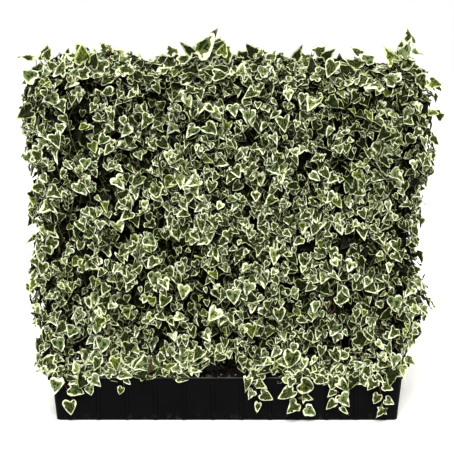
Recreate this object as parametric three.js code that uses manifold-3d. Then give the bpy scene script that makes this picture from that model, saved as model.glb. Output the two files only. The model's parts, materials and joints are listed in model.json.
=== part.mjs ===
// Potted ivy hedge: a ribbed plastic trough of soil, a galvanised wire trellis that stands in it, nine ivy
// plants trained up the wires, the leaf masses they carry, and shoots that trail over the trough's rim.
// Millimetres. +Z is up, +X runs along the trough and -Y is the front.
// The origin is the centre of the trough's underside.

import * as THREE from "three";
import { mergeVertices } from "three/addons/utils/BufferGeometryUtils.js";
import Module from "manifold-3d";

const wasm = await Module();
wasm.setup();

// Clearance left wherever two pieces touch.
const GAP = 0.3;

// Trough. Its four walls lean in from the rim to the base by the two tapers.
const RIM_LENGTH = 1010;
const RIM_DEPTH = 208;
const TROUGH_HEIGHT = 128;
const END_TAPER = 11;
const SIDE_TAPER = 8;
const WALL = 3;
const FLOOR = 4;
const CORNER_RADIUS = 14;
const CORNER_STEPS = 3;
const LIP_OVERHANG = 3;
const LIP_HEIGHT = 6;
const RIB_WIDTH = 12.5;
const RIB_PITCH = 82;
const RIB_DEPTH = 1.5;
const RIB_DROP = 17; // from the rim down to the ribs' upper ends
const DRAIN_DIAMETER = 11;
const DRAINS_IN_A_ROW = 4;
const DRAIN_ROW_OFFSET = 45; // from the trough's centre line to each row of drain holes

// Soil.
const SOIL_BELOW_RIM = 15;
const SOIL_UNEVENNESS = 4;
const SOIL_COLUMNS = 18;
const SOIL_ROWS = 4;

// Trellis of welded wire.
const WIRE_DIAMETER = 4;
const WIRE_SIDES = 8;
const UPRIGHT_COUNT = 11;
const RAIL_COUNT = 9;
const RAIL_OVERHANG = 12; // past the outermost uprights
const LOWEST_RAIL_ABOVE_RIM = 22;
const HIGHEST_RAIL_BELOW_TOP = 10;

// Leaf masses.
const HEDGE_TOP = 1048;
const CROWN_THICKNESS = 48; // leaves above the trellis
const CROWN_ROUNDING = 110;
const CROWN_ANGLES = [25, 50, 72];
const HEM_ABOVE_RIM = 12;
const HALF_DEPTH_LOW = 97;
const HALF_DEPTH_HIGH = 118;
const TUCK_HEIGHT = 260; // height over which the faces widen from the low to the high depth
const TUFT_HEIGHT = 6;
const END_REACH_LOW = 62; // past the outermost plants' columns
const END_REACH_HIGH = 94;
const FACE_COLUMNS = 3;
const FACE_LEVELS = 11;
const END_STEPS = 7;

// Stems.
const PLANT_COUNT = 9;
const STEM_DIAMETER_LOW = 9;
const STEM_DIAMETER_HIGH = 4.5;
const STEM_SIDES = 6;
const STEM_STEPS = 11;
const STEM_WAVE = 12;
const STEM_BENDS = 7; // stretches between the points that a stem's centre line passes through
const ROOT_DEPTH = 70; // how far a stem reaches down into the soil
const BRANCH_DIAMETER = 3.4;
const BRANCH_SIDES = 5;
const BRANCH_STEPS = 4;
const BRANCH_REACH = 70;
const BRANCH_RISE = 105;
const BRANCH_HEIGHTS = [0.2, 0.46, 0.7]; // shares of the stem's length

// Growing tips: stems that go on through the crown, with how far they lean aside and stand above it.
const TIPS = [
  { plant: 1, lean: 6, rise: 6 },
  { plant: 4, lean: -32, rise: 11 },
  { plant: 6, lean: 22, rise: 5 },
  { plant: 8, lean: 30, rise: 12 },
];
const TIP_LEAF_LENGTH = 30;

// Leaves and the shoots that hang over the rim.
const LEAF_THICKNESS = 1.2;
const LEAF_WIDTH_SHARE = 0.92; // of a leaf's length
const PETIOLE_DIAMETER = 1.8;
const SHOOT_DIAMETER = 3;
const SHOOT_ROOT_DEPTH = 22;
const SHOOT_ROOT_INSET = 40; // from the rim in to where a shoot leaves the soil
const SHOOT_CLEARANCE = 5; // between a shoot's centre line and the rim it hangs over
const SHOOT_STEPS = 14;
const SHOOT_LEAF_SPACING = 21;
const LOWEST_LEAF = 34;
const HIGHEST_LEAF = 40;

// place: plant columns from the centre; hang: share of the rim's height; sway: sideways over its length.
const FRONT_SHOOTS = [
  { place: -4.36, hang: 0.74, sway: 34 },
  { place: -3.62, hang: 0.42, sway: -6 },
  { place: -2.74, hang: 0.46, sway: 4 },
  { place: 0.62, hang: 0.78, sway: 30 },
  { place: 1.78, hang: 0.94, sway: 22 },
  { place: 2.86, hang: 0.9, sway: 8 },
  { place: 3.92, hang: 0.88, sway: 30 },
];
const BACK_SHOOTS = [
  { place: -2.9, hang: 0.62, sway: -16 },
  { place: 0.4, hang: 0.9, sway: 20 },
  { place: 3.2, hang: 0.5, sway: 10 },
];

const MATERIALS = {
  plastic: new THREE.MeshStandardMaterial({ color: 0x17181a, roughness: 0.5, metalness: 0 }),
  soil: new THREE.MeshStandardMaterial({ color: 0x2b2119, roughness: 0.95, metalness: 0 }),
  wire: new THREE.MeshStandardMaterial({ color: 0x8c9092, roughness: 0.45, metalness: 0.9 }),
  stem: new THREE.MeshStandardMaterial({ color: 0x5b4a35, roughness: 0.85, metalness: 0 }),
  foliage: new THREE.MeshStandardMaterial({ color: 0x66704a, roughness: 0.6, metalness: 0 }),
  shoot: new THREE.MeshStandardMaterial({ color: 0x7f8a5c, roughness: 0.55, metalness: 0 }),
};

// Sizes that follow from the ones above.
const WIRE_RADIUS = WIRE_DIAMETER / 2;
const SOIL_TOP = TROUGH_HEIGHT - SOIL_BELOW_RIM;
const TRELLIS_TOP = HEDGE_TOP - CROWN_THICKNESS;
const PLANTED_LENGTH = 2 * (wallHalf(FLOOR).x - WALL);
const PLANT_PITCH = PLANTED_LENGTH / PLANT_COUNT;
const UPRIGHT_PITCH = PLANTED_LENGTH / UPRIGHT_COUNT;
const RAIL_Y = -(WIRE_DIAMETER + GAP);
const STEM_FACE_FRONT = RAIL_Y - WIRE_RADIUS - GAP; // plane that the front stems lie against
const STEM_FACE_BACK = WIRE_RADIUS + GAP;
const CORE_FRONT = STEM_FACE_FRONT - STEM_DIAMETER_LOW - GAP; // the leaf masses are hollow between these planes
const CORE_BACK = STEM_FACE_BACK + STEM_DIAMETER_LOW + GAP;
const CORE_HALF_LENGTH =
  plantX(PLANT_COUNT - 1) + STEM_WAVE + BRANCH_REACH + BRANCH_DIAMETER / 2 + GAP;

/** Half length and half depth of the outside of the trough's walls at height z. */
function wallHalf(z) {
  const lean = 1 - z / TROUGH_HEIGHT;
  return {
    x: RIM_LENGTH / 2 - LIP_OVERHANG - END_TAPER * lean,
    y: RIM_DEPTH / 2 - LIP_OVERHANG - SIDE_TAPER * lean,
  };
}

/** Where along the trough a plant stands; plants count from 0 at the left. */
function plantX(plant) {
  return (plant - (PLANT_COUNT - 1) / 2) * PLANT_PITCH;
}

/** Closed surface through rings of equal length, each anticlockwise seen from the last ring's side. */
function loft(rings) {
  const count = rings[0].length;
  const points = rings.flat();
  const index = [];
  for (let r = 0; r + 1 < rings.length; r += 1) {
    for (let i = 0; i < count; i += 1) {
      const a = r * count + i;
      const b = r * count + ((i + 1) % count);
      index.push(a, b, b + count);
      index.push(a, b + count, a + count);
    }
  }
  const last = points.length - count;
  const centres = [rings[0], rings.at(-1)].map((ring) => {
    const sum = ring.reduce((total, p) => total.add(p), new THREE.Vector3());
    return sum.divideScalar(count);
  });
  points.push(...centres);
  for (let i = 0; i < count; i += 1) {
    const next = (i + 1) % count;
    index.push(points.length - 2, next, i);
    index.push(points.length - 1, last + i, last + next);
  }
  const geometry = new THREE.BufferGeometry().setFromPoints(points);
  geometry.setIndex(index);
  return geometry;
}

/** A closed geometry as a solid that can be joined and cut. */
function solidOf(geometry) {
  const bare = geometry.clone();
  bare.deleteAttribute("normal");
  bare.deleteAttribute("uv");
  const merged = mergeVertices(bare, 1e-4);
  return new wasm.Manifold(
    new wasm.Mesh({
      numProp: 3,
      vertProperties: merged.attributes.position.array,
      triVerts: new Uint32Array(merged.index.array),
    }),
  );
}

/** A solid as a flat-shaded geometry. */
function geometryOf(solid) {
  const mesh = solid.getMesh();
  const geometry = new THREE.BufferGeometry();
  geometry.setAttribute("position", new THREE.BufferAttribute(mesh.vertProperties, 3));
  geometry.setIndex(new THREE.BufferAttribute(mesh.triVerts, 1));
  const faceted = geometry.toNonIndexed();
  faceted.computeVertexNormals();
  return faceted;
}

/** Several solids as one. */
function joined(solids) {
  return solids.reduce((whole, solid) => whole.add(solid));
}

/** A named mesh of a solid. */
function piece(name, solid, material) {
  const mesh = new THREE.Mesh(geometryOf(solid), material);
  mesh.name = name;
  return mesh;
}

/** Rounded-rectangle ring at height z, anticlockwise seen from above. */
function roundedRing(half, radius, z) {
  const points = [];
  const corners = [
    [1, 1],
    [-1, 1],
    [-1, -1],
    [1, -1],
  ];
  corners.forEach(([sx, sy], quarter) => {
    for (let i = 0; i <= CORNER_STEPS; i += 1) {
      const angle = (Math.PI / 2) * (quarter + i / CORNER_STEPS);
      const x = sx * (half.x - radius) + radius * Math.cos(angle);
      const y = sy * (half.y - radius) + radius * Math.sin(angle);
      points.push(new THREE.Vector3(x, y, z));
    }
  });
  return points;
}

/** Ring of the trough's wall at height z, moved out by some amount. */
function wallRing(z, out) {
  const half = wallHalf(z);
  return roundedRing({ x: half.x + out, y: half.y + out }, CORNER_RADIUS + out, z);
}

/** Ring of a round tube of some radius about a point, with its two cross directions. */
function tubeRing(centre, normal, binormal, radius, sides) {
  const ring = [];
  for (let i = 0; i < sides; i += 1) {
    const angle = (2 * Math.PI * i) / sides;
    const point = centre.clone();
    point.addScaledVector(normal, radius * Math.cos(angle));
    point.addScaledVector(binormal, radius * Math.sin(angle));
    ring.push(point);
  }
  return ring;
}

/** Round tube with closed ends along a curve. radiusAt gives its radius at a point of the curve. */
function tube(curve, steps, sides, radiusAt, clearance = 0) {
  const frames = curve.computeFrenetFrames(steps, false);
  const rings = [];
  for (let i = 0; i <= steps; i += 1) {
    const centre = curve.getPointAt(i / steps);
    const radius = radiusAt(centre) + clearance;
    const endwards = i === 0 ? -clearance : i === steps ? clearance : 0;
    centre.addScaledVector(frames.tangents[i], endwards);
    rings.push(tubeRing(centre, frames.normals[i], frames.binormals[i], radius, sides));
  }
  return solidOf(loft(rings));
}

/** Upright wire-like cylinder as a solid, used to make room for a wire. */
function uprightSolid(x, bottom, top, radius) {
  const geometry = new THREE.CylinderGeometry(radius, radius, top - bottom, WIRE_SIDES);
  geometry.rotateX(Math.PI / 2);
  geometry.translate(x, 0, (top + bottom) / 2);
  return solidOf(geometry);
}

/** Places of a row of features centred on 0, spaced by pitch, none farther out than limit. */
function rowPlaces(pitch, limit) {
  const places = [];
  for (let at = pitch / 2; at <= limit; at += pitch) {
    places.push(-at, at);
  }
  return places;
}

/** One vertical rib on a wall; side counts the walls from the front, anticlockwise seen from above. */
function ribSolid(side, along) {
  const top = TROUGH_HEIGHT - RIB_DROP;
  const sections = [
    { z: 0, out: RIB_DEPTH },
    { z: top - 2 * RIB_DEPTH, out: RIB_DEPTH },
    { z: top, out: -WALL / 2 },
  ];
  const onLongWall = side % 2 === 0;
  const rings = sections.map(({ z, out }) => {
    const half = onLongWall ? wallHalf(z).y : wallHalf(z).x;
    const outer = -(half + out);
    const inner = -(half - WALL * 0.7);
    return [
      new THREE.Vector3(along - RIB_WIDTH / 2, outer, z),
      new THREE.Vector3(along + RIB_WIDTH / 2, outer, z),
      new THREE.Vector3(along + RIB_WIDTH / 2, inner, z),
      new THREE.Vector3(along - RIB_WIDTH / 2, inner, z),
    ];
  });
  const geometry = loft(rings);
  geometry.rotateZ((side * Math.PI) / 2);
  return solidOf(geometry);
}

function makeTrough() {
  const lipBottom = TROUGH_HEIGHT - LIP_HEIGHT;
  let trough = solidOf(
    loft([
      wallRing(0, 0),
      wallRing(lipBottom, 0),
      wallRing(lipBottom, LIP_OVERHANG),
      wallRing(TROUGH_HEIGHT, LIP_OVERHANG),
      wallRing(TROUGH_HEIGHT, -WALL),
      wallRing(FLOOR, -WALL),
    ]),
  );
  const base = wallHalf(0);
  const limits = [base.y, base.x].map((half) => half - CORNER_RADIUS - RIB_WIDTH / 2);
  for (let side = 0; side < 4; side += 1) {
    const limit = limits[(side + 1) % 2];
    for (const along of rowPlaces(RIB_PITCH, limit)) {
      trough = trough.add(ribSolid(side, along));
    }
  }
  const spacing = PLANTED_LENGTH / DRAINS_IN_A_ROW;
  for (let i = 0; i < DRAINS_IN_A_ROW; i += 1) {
    for (const y of [-DRAIN_ROW_OFFSET, DRAIN_ROW_OFFSET]) {
      const hole = new THREE.CylinderGeometry(DRAIN_DIAMETER / 2, DRAIN_DIAMETER / 2, 3 * FLOOR, 10);
      hole.rotateX(Math.PI / 2);
      hole.translate((i - (DRAINS_IN_A_ROW - 1) / 2) * spacing, y, 0);
      trough = trough.subtract(solidOf(hole));
    }
  }
  return piece("planter_trough", trough, MATERIALS.plastic);
}

/** Height of the soil's surface at a point. */
function soilHeight(x, y) {
  const lumps = Math.sin(x / 29) * Math.cos(y / 23) + 0.6 * Math.sin(x / 11 + y / 17);
  return SOIL_TOP + (SOIL_UNEVENNESS / 1.6) * lumps;
}

/** Block with the soil's uneven top, wider than the trough. */
function soilRelief() {
  const rings = [];
  for (let i = 0; i <= SOIL_COLUMNS; i += 1) {
    const x = (i / SOIL_COLUMNS - 0.5) * (RIM_LENGTH + WALL);
    const ring = [
      new THREE.Vector3(x, -RIM_DEPTH / 2, -WALL),
      new THREE.Vector3(x, RIM_DEPTH / 2, -WALL),
    ];
    for (let j = 0; j <= SOIL_ROWS; j += 1) {
      const y = (0.5 - j / SOIL_ROWS) * RIM_DEPTH;
      ring.push(new THREE.Vector3(x, y, soilHeight(x, y)));
    }
    rings.push(ring);
  }
  return solidOf(loft(rings));
}

/** Soil that fills the trough, with room for whatever stands in it. */
function makeSoil(rooted) {
  const fill = solidOf(loft([wallRing(FLOOR + GAP, -WALL - GAP), wallRing(TROUGH_HEIGHT, -WALL - GAP)]));
  const soil = rooted.reduce((left, solid) => left.subtract(solid), fill.intersect(soilRelief()));
  return piece("potting_soil", soil, MATERIALS.soil);
}

/** Where the uprights stand along the trough. */
function uprightPlaces() {
  return Array.from({ length: UPRIGHT_COUNT }, (_, i) => (i - (UPRIGHT_COUNT - 1) / 2) * UPRIGHT_PITCH);
}

/** One wire of the trellis, flat side towards the wires that cross it, along its mesh's own Y axis. */
function wire(name, length) {
  const radius = WIRE_RADIUS / Math.cos(Math.PI / WIRE_SIDES);
  const geometry = new THREE.CylinderGeometry(
    radius,
    radius,
    length,
    WIRE_SIDES,
    1,
    false,
    Math.PI / WIRE_SIDES,
  );
  const mesh = new THREE.Mesh(geometry, MATERIALS.wire);
  mesh.name = name;
  return mesh;
}

function makeTrellis() {
  const trellis = new THREE.Group();
  const foot = FLOOR + GAP;
  uprightPlaces().forEach((x, i) => {
    const upright = wire(`trellis_upright_${String(i + 1).padStart(2, "0")}`, TRELLIS_TOP - foot);
    upright.rotation.x = Math.PI / 2;
    upright.position.set(x, 0, (TRELLIS_TOP + foot) / 2);
    trellis.add(upright);
  });
  const lowest = TROUGH_HEIGHT + LOWEST_RAIL_ABOVE_RIM;
  const highest = TRELLIS_TOP - HIGHEST_RAIL_BELOW_TOP;
  const length = (UPRIGHT_COUNT - 1) * UPRIGHT_PITCH + 2 * RAIL_OVERHANG;
  for (let i = 0; i < RAIL_COUNT; i += 1) {
    const rail = wire(`trellis_rail_${i + 1}`, length);
    rail.rotation.z = Math.PI / 2;
    rail.position.set(0, RAIL_Y, THREE.MathUtils.lerp(lowest, highest, i / (RAIL_COUNT - 1)));
    trellis.add(rail);
  }
  return trellis;
}

/** Outline of an ivy leaf one unit long, from its stalk at the origin to its tip at (0, 1). */
function leafShape() {
  const rightEdge = [
    [0.2, -0.1],
    [0.5, 0.06],
    [0.38, 0.42],
    [0.17, 0.7],
  ];
  const leftEdge = rightEdge.map(([x, y]) => [-x, y]).reverse();
  const outline = [[0, 0], ...rightEdge, [0, 1], ...leftEdge];
  return new THREE.Shape(outline.map(([x, y]) => new THREE.Vector2(x, y)));
}

/** A leaf and its stalk: from is on the stem, base is where the blade starts. */
function leafSolid({ from, base, tip, facing, length }) {
  const along = tip.clone().normalize();
  const across = new THREE.Vector3().crossVectors(along, facing).normalize();
  const normal = new THREE.Vector3().crossVectors(across, along);
  const blade = new THREE.ExtrudeGeometry(leafShape(), { depth: LEAF_THICKNESS, bevelEnabled: false });
  blade.translate(0, 0, -LEAF_THICKNESS / 2);
  blade.scale(length * LEAF_WIDTH_SHARE, length, 1);
  blade.applyMatrix4(new THREE.Matrix4().makeBasis(across, along, normal).setPosition(base));
  const inBlade = base.clone().addScaledVector(along, length * 0.14);
  const stalk = tube(new THREE.LineCurve3(from, inBlade), 1, 5, () => PETIOLE_DIAMETER / 2);
  return solidOf(blade).add(stalk);
}

/** Radius of a main stem at a point, which narrows from the soil to the top of the trellis. */
function stemRadius(point) {
  const share = (point.z - SOIL_TOP) / (TRELLIS_TOP - SOIL_TOP);
  return THREE.MathUtils.lerp(STEM_DIAMETER_LOW, STEM_DIAMETER_HIGH, THREE.MathUtils.clamp(share, 0, 1)) / 2;
}

/** Centre line of a plant's main stem, which ends under the crown or, with a tip, above it. */
function stemCurve(plant, tip) {
  const inFront = plant % 2 === 0;
  const bottom = SOIL_TOP - ROOT_DEPTH;
  const top = TRELLIS_TOP - 2 * GAP;
  const points = [];
  for (let i = 0; i <= STEM_BENDS; i += 1) {
    const share = i / STEM_BENDS;
    const wave = STEM_WAVE * Math.sin(1.6 * plant + 5.2 * share) * Math.sin(Math.PI * share);
    const point = new THREE.Vector3(plantX(plant) + wave, 0, THREE.MathUtils.lerp(bottom, top, share));
    point.y = inFront ? STEM_FACE_FRONT - stemRadius(point) : STEM_FACE_BACK + stemRadius(point);
    points.push(point);
  }
  if (tip) {
    const end = points.at(-1).clone();
    end.x += tip.lean;
    end.z = HEDGE_TOP + tip.rise;
    points.push(end);
  }
  return new THREE.CatmullRomCurve3(points, false, "centripetal");
}

/** A plant's main stem, grown all round by a clearance. */
function stemSolid(plant, tip, clearance) {
  const steps = STEM_STEPS + (tip ? 2 : 0);
  return tube(stemCurve(plant, tip), steps, STEM_SIDES, stemRadius, clearance);
}

/** Side shoots of a main stem, which stay in the hollow core of the leaf masses. */
function branchSolids(plant, curve) {
  return BRANCH_HEIGHTS.map((share, i) => {
    const side = (plant + i) % 2 === 0 ? 1 : -1;
    const start = curve.getPointAt(share);
    const bend = start.clone().add(new THREE.Vector3(side * BRANCH_REACH * 0.6, 0, BRANCH_RISE * 0.3));
    const end = start.clone().add(new THREE.Vector3(side * BRANCH_REACH, 0, BRANCH_RISE));
    const path = new THREE.QuadraticBezierCurve3(start, bend, end);
    return tube(path, BRANCH_STEPS, BRANCH_SIDES, () => BRANCH_DIAMETER / 2);
  });
}

/** Leaves of a growing tip that stands above the crown. */
function tipLeaves(curve) {
  const end = curve.getPoint(1);
  const fan = [
    { side: -1, spread: 0.9, up: 0.75, size: 0.85 },
    { side: 1, spread: 0.9, up: 0.6, size: 0.8 },
    { side: 1, spread: 0.12, up: 1, size: 1 },
  ];
  return fan.map(({ side, spread, up, size }) => {
    const tip = new THREE.Vector3(side * spread, -0.15, up);
    const from = end.clone().add(new THREE.Vector3(0, 0, -1));
    const base = end.clone().add(new THREE.Vector3(side * spread * 6, -1, 4));
    const facing = new THREE.Vector3(0, -1, 0.25);
    return leafSolid({ from, base, tip, facing, length: TIP_LEAF_LENGTH * size });
  });
}

function makeStems() {
  const stems = new THREE.Group();
  for (let plant = 0; plant < PLANT_COUNT; plant += 1) {
    const tip = TIPS.find((entry) => entry.plant === plant);
    const curve = stemCurve(plant, tip);
    const parts = [stemSolid(plant, tip, 0), ...branchSolids(plant, curve)];
    if (tip) {
      parts.push(...tipLeaves(curve));
    }
    stems.add(piece(`ivy_stem_${plant + 1}`, joined(parts), MATERIALS.stem));
  }
  return stems;
}

/** How far the leaves stand out from the mean face of the hedge at a point on it. */
function tuft(x, z) {
  const swell = Math.sin(x / 31 + 1.4 * Math.sin(z / 83)) * Math.cos(z / 47 + x / 190);
  const ripple = 0.5 * Math.sin(x / 17 - z / 29);
  return (TUFT_HEIGHT / 1.5) * (swell + ripple);
}

/** One height on the face of the hedge: share 0 is the hem and 1 is where the crown starts to round. */
function faceHeight(x, share) {
  const hem = TROUGH_HEIGHT + HEM_ABOVE_RIM + 0.5 * Math.abs(tuft(x, 0));
  const shoulder = HEDGE_TOP - CROWN_ROUNDING + tuft(x, HEDGE_TOP);
  return THREE.MathUtils.lerp(hem, shoulder, share);
}

/** Half depth of the hedge at a height, before its tufts. */
function halfDepth(z) {
  const rise = THREE.MathUtils.smoothstep(z, TROUGH_HEIGHT, TROUGH_HEIGHT + TUCK_HEIGHT);
  return THREE.MathUtils.lerp(HALF_DEPTH_LOW, HALF_DEPTH_HIGH, rise);
}

/** Levels of a leaf mass from hem to crown: a share of the face's height and an angle round the crown. */
function massLevels() {
  const levels = [];
  for (let i = 0; i <= FACE_LEVELS; i += 1) {
    levels.push({ share: i / FACE_LEVELS, turn: 0 });
  }
  for (const degrees of CROWN_ANGLES) {
    levels.push({ share: 1, turn: THREE.MathUtils.degToRad(degrees) });
  }
  return levels;
}

/** A point on the hedge's surface; side is -1 on the front and 1 on the back. */
function facePoint(x, side, level) {
  const z = faceHeight(x, level.share);
  const stands = halfDepth(z) + tuft(side * x, z);
  const rounding = Math.cos(level.turn);
  return new THREE.Vector3(x, side * stands * rounding, z + CROWN_ROUNDING * Math.sin(level.turn));
}

/** The hollow that the stems and the trellis stand in, between two places along the trough. */
function coreSolid(fromX, toX) {
  const bottom = TROUGH_HEIGHT / 2;
  const top = TRELLIS_TOP + GAP;
  const box = new THREE.BoxGeometry(toX - fromX, CORE_BACK - CORE_FRONT, top - bottom);
  box.translate((fromX + toX) / 2, (CORE_FRONT + CORE_BACK) / 2, (top + bottom) / 2);
  return solidOf(box);
}

/** The leaves of one plant: front, crown and back in one mass over the wires. */
function massSolid(plant) {
  const left = plantX(plant) - PLANT_PITCH / 2 + GAP / 2;
  const right = plantX(plant) + PLANT_PITCH / 2 - GAP / 2;
  const places = Array.from({ length: FACE_COLUMNS + 1 }, (_, i) =>
    THREE.MathUtils.lerp(left, right, i / FACE_COLUMNS),
  );
  const rings = massLevels().map((level) => [
    ...places.map((x) => facePoint(x, -1, level)),
    ...places.toReversed().map((x) => facePoint(x, 1, level)),
  ]);
  return solidOf(loft(rings)).subtract(coreSolid(left - GAP, right + GAP));
}

/** The rounded end of the hedge, past the outermost plant; side is -1 on the left and 1 on the right. */
function endSolid(side) {
  const inner = PLANTED_LENGTH / 2 + GAP / 2;
  const rings = massLevels().map((level) => {
    const ring = [];
    for (let i = 0; i <= END_STEPS; i += 1) {
      const angle = Math.PI * (i / END_STEPS - 0.5);
      const z = faceHeight(side * inner, level.share);
      const rise = THREE.MathUtils.smoothstep(z, TROUGH_HEIGHT, TROUGH_HEIGHT + TUCK_HEIGHT);
      const reach = THREE.MathUtils.lerp(END_REACH_LOW, END_REACH_HIGH, rise);
      const bulge = tuft(side * inner + 40 * angle, z);
      const rounding = Math.cos(level.turn);
      const x = inner + (reach + bulge) * Math.cos(angle) * rounding;
      const y = (halfDepth(z) + bulge) * Math.sin(angle) * rounding;
      ring.push(new THREE.Vector3(side * x, y, z + CROWN_ROUNDING * Math.sin(level.turn)));
    }
    return side > 0 ? ring : ring.reverse();
  });
  const coreEnds = [side * (inner - GAP), side * CORE_HALF_LENGTH].sort((a, b) => a - b);
  return solidOf(loft(rings)).subtract(coreSolid(...coreEnds));
}

function makeLeafMasses() {
  const masses = new THREE.Group();
  for (let plant = 0; plant < PLANT_COUNT; plant += 1) {
    const tip = TIPS.find((entry) => entry.plant === plant);
    const mass = massSolid(plant);
    const open = tip ? mass.subtract(stemSolid(plant, tip, GAP)) : mass;
    masses.add(piece(`leaf_mass_${plant + 1}`, open, MATERIALS.foliage));
  }
  masses.add(piece("leaf_mass_left_end", endSolid(-1), MATERIALS.foliage));
  masses.add(piece("leaf_mass_right_end", endSolid(1), MATERIALS.foliage));
  return masses;
}

/** Centre line of a shoot out of the soil, over the rim and down outside; side is -1 in front, 1 behind. */
function shootCurve(shoot, side) {
  const x = shoot.place * PLANT_PITCH;
  const rim = RIM_DEPTH / 2;
  const lowestPoint = TROUGH_HEIGHT * (1 - shoot.hang);
  const end = lowestPoint + LOWEST_LEAF;
  const outside = rim + SHOOT_CLEARANCE;
  const route = [
    [0, rim - SHOOT_ROOT_INSET, SOIL_TOP - SHOOT_ROOT_DEPTH],
    [0, rim - SHOOT_ROOT_INSET * 0.9, SOIL_TOP + 6],
    [0, rim - SHOOT_ROOT_INSET * 0.4, TROUGH_HEIGHT + SHOOT_CLEARANCE + 1],
    [0, outside - 2, TROUGH_HEIGHT + SHOOT_CLEARANCE],
    [0.15, outside + 2, TROUGH_HEIGHT - LIP_HEIGHT],
    [0.55, outside + 3, THREE.MathUtils.lerp(end, TROUGH_HEIGHT - LIP_HEIGHT, 0.45)],
    [1, outside + 2, end],
  ];
  const points = route.map(([swayed, out, z]) => new THREE.Vector3(x + swayed * shoot.sway, side * out, z));
  return new THREE.CatmullRomCurve3(points, false, "centripetal");
}

/** A shoot's bare stem, grown all round by a clearance. */
function shootStem(shoot, side, clearance) {
  return tube(shootCurve(shoot, side), SHOOT_STEPS, STEM_SIDES, () => SHOOT_DIAMETER / 2, clearance);
}

/** A trailing shoot with leaves on both sides and one at its end. */
function shootSolid(shoot, side) {
  const curve = shootCurve(shoot, side);
  const end = curve.getPointAt(1);
  const hanging = TROUGH_HEIGHT - LIP_HEIGHT - end.z;
  const pairs = Math.max(0, Math.floor(hanging / SHOOT_LEAF_SPACING));
  const facing = new THREE.Vector3(0.1, side, 0.12);
  const leaves = [];
  for (let i = 0; i < pairs; i += 1) {
    const hand = i % 2 === 0 ? 1 : -1;
    const share = 1 - ((i + 1) * SHOOT_LEAF_SPACING) / curve.getLength();
    const from = curve.getPointAt(share);
    const base = from.clone().add(new THREE.Vector3(hand * 9, side * 3, -3));
    const tip = new THREE.Vector3(hand * 0.75, side * 0.1, -0.8);
    const length = THREE.MathUtils.lerp(LOWEST_LEAF, HIGHEST_LEAF, (i + 1) / pairs) * 0.9;
    leaves.push(leafSolid({ from, base, tip, facing, length }));
  }
  const tip = new THREE.Vector3(0.1, 0, -1);
  const base = end.clone().add(new THREE.Vector3(0, side * 1.5, -2));
  leaves.push(leafSolid({ from: end, base, tip, facing, length: LOWEST_LEAF - 4 }));
  return joined([shootStem(shoot, side, 0), ...leaves]);
}

function makeShoots() {
  const shoots = new THREE.Group();
  FRONT_SHOOTS.forEach((shoot, i) => {
    shoots.add(piece(`trailing_shoot_front_${i + 1}`, shootSolid(shoot, -1), MATERIALS.shoot));
  });
  BACK_SHOOTS.forEach((shoot, i) => {
    shoots.add(piece(`trailing_shoot_back_${i + 1}`, shootSolid(shoot, 1), MATERIALS.shoot));
  });
  return shoots;
}

/** Everything that stands in the soil, each grown by the clearance. */
function rootedSolids() {
  const top = TROUGH_HEIGHT;
  const wires = uprightPlaces().map((x) => uprightSolid(x, 0, top, WIRE_RADIUS / 0.92 + GAP));
  const stems = Array.from({ length: PLANT_COUNT }, (_, plant) =>
    stemSolid(plant, TIPS.find((entry) => entry.plant === plant), GAP),
  );
  const front = FRONT_SHOOTS.map((shoot) => shootStem(shoot, -1, GAP));
  const back = BACK_SHOOTS.map((shoot) => shootStem(shoot, 1, GAP));
  return [...wires, ...stems, ...front, ...back];
}

const group = new THREE.Group();
group.add(makeTrough());
group.add(makeSoil(rootedSolids()));
group.add(makeTrellis());
group.add(makeStems());
group.add(makeLeafMasses());
group.add(makeShoots());

export default group;
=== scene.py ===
"""Potted ivy hedge: a ribbed plastic trough of soil, a welded wire trellis and nine variegated ivy plants.

Metres. +Z is up, +X runs along the trough and -Y is the front. The origin is the middle of the trough's
underside.
"""

import json
import logging
import math
import random
from collections.abc import Iterable, Sequence
from dataclasses import dataclass, field, fields
from enum import Enum

import bpy
from mathutils import Matrix, Vector, noise
from mathutils.geometry import delaunay_2d_cdt

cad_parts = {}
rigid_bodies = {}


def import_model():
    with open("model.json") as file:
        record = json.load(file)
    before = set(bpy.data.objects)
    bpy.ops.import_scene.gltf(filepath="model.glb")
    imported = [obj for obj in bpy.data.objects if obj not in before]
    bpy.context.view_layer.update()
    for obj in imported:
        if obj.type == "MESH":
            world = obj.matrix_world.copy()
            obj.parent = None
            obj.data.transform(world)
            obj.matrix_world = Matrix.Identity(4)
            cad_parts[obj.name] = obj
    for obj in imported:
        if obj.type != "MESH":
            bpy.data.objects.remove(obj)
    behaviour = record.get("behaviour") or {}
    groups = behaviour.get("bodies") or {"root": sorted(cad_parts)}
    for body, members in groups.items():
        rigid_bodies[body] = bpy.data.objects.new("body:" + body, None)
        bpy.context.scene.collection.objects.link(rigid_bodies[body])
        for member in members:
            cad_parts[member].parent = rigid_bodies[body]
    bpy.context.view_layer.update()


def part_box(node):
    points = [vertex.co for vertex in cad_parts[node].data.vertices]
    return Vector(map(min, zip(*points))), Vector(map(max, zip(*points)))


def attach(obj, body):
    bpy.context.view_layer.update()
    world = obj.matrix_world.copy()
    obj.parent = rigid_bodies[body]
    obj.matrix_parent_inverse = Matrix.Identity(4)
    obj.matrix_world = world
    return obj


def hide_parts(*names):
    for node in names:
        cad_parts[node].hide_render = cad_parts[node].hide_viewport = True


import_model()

LOG = logging.getLogger("ivy_hedge")
BODY = "root"
ATLAS_MAP = "OFBake"
MARGIN = "margin"
GIRTH = "girth"
GOLDEN_PART = 0.618

Number = float | int
Triple = tuple[float, float, float]
Colour = tuple[float, float, float]


def rgba(colour: Colour) -> tuple[float, float, float, float]:
    """Opaque linear colour of an sRGB colour in 0 to 255."""
    linear = [(c / 255 / 12.92) if c <= 10 else ((c / 255 + 0.055) / 1.055) ** 2.4 for c in colour]
    return (linear[0], linear[1], linear[2], 1.0)


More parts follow.
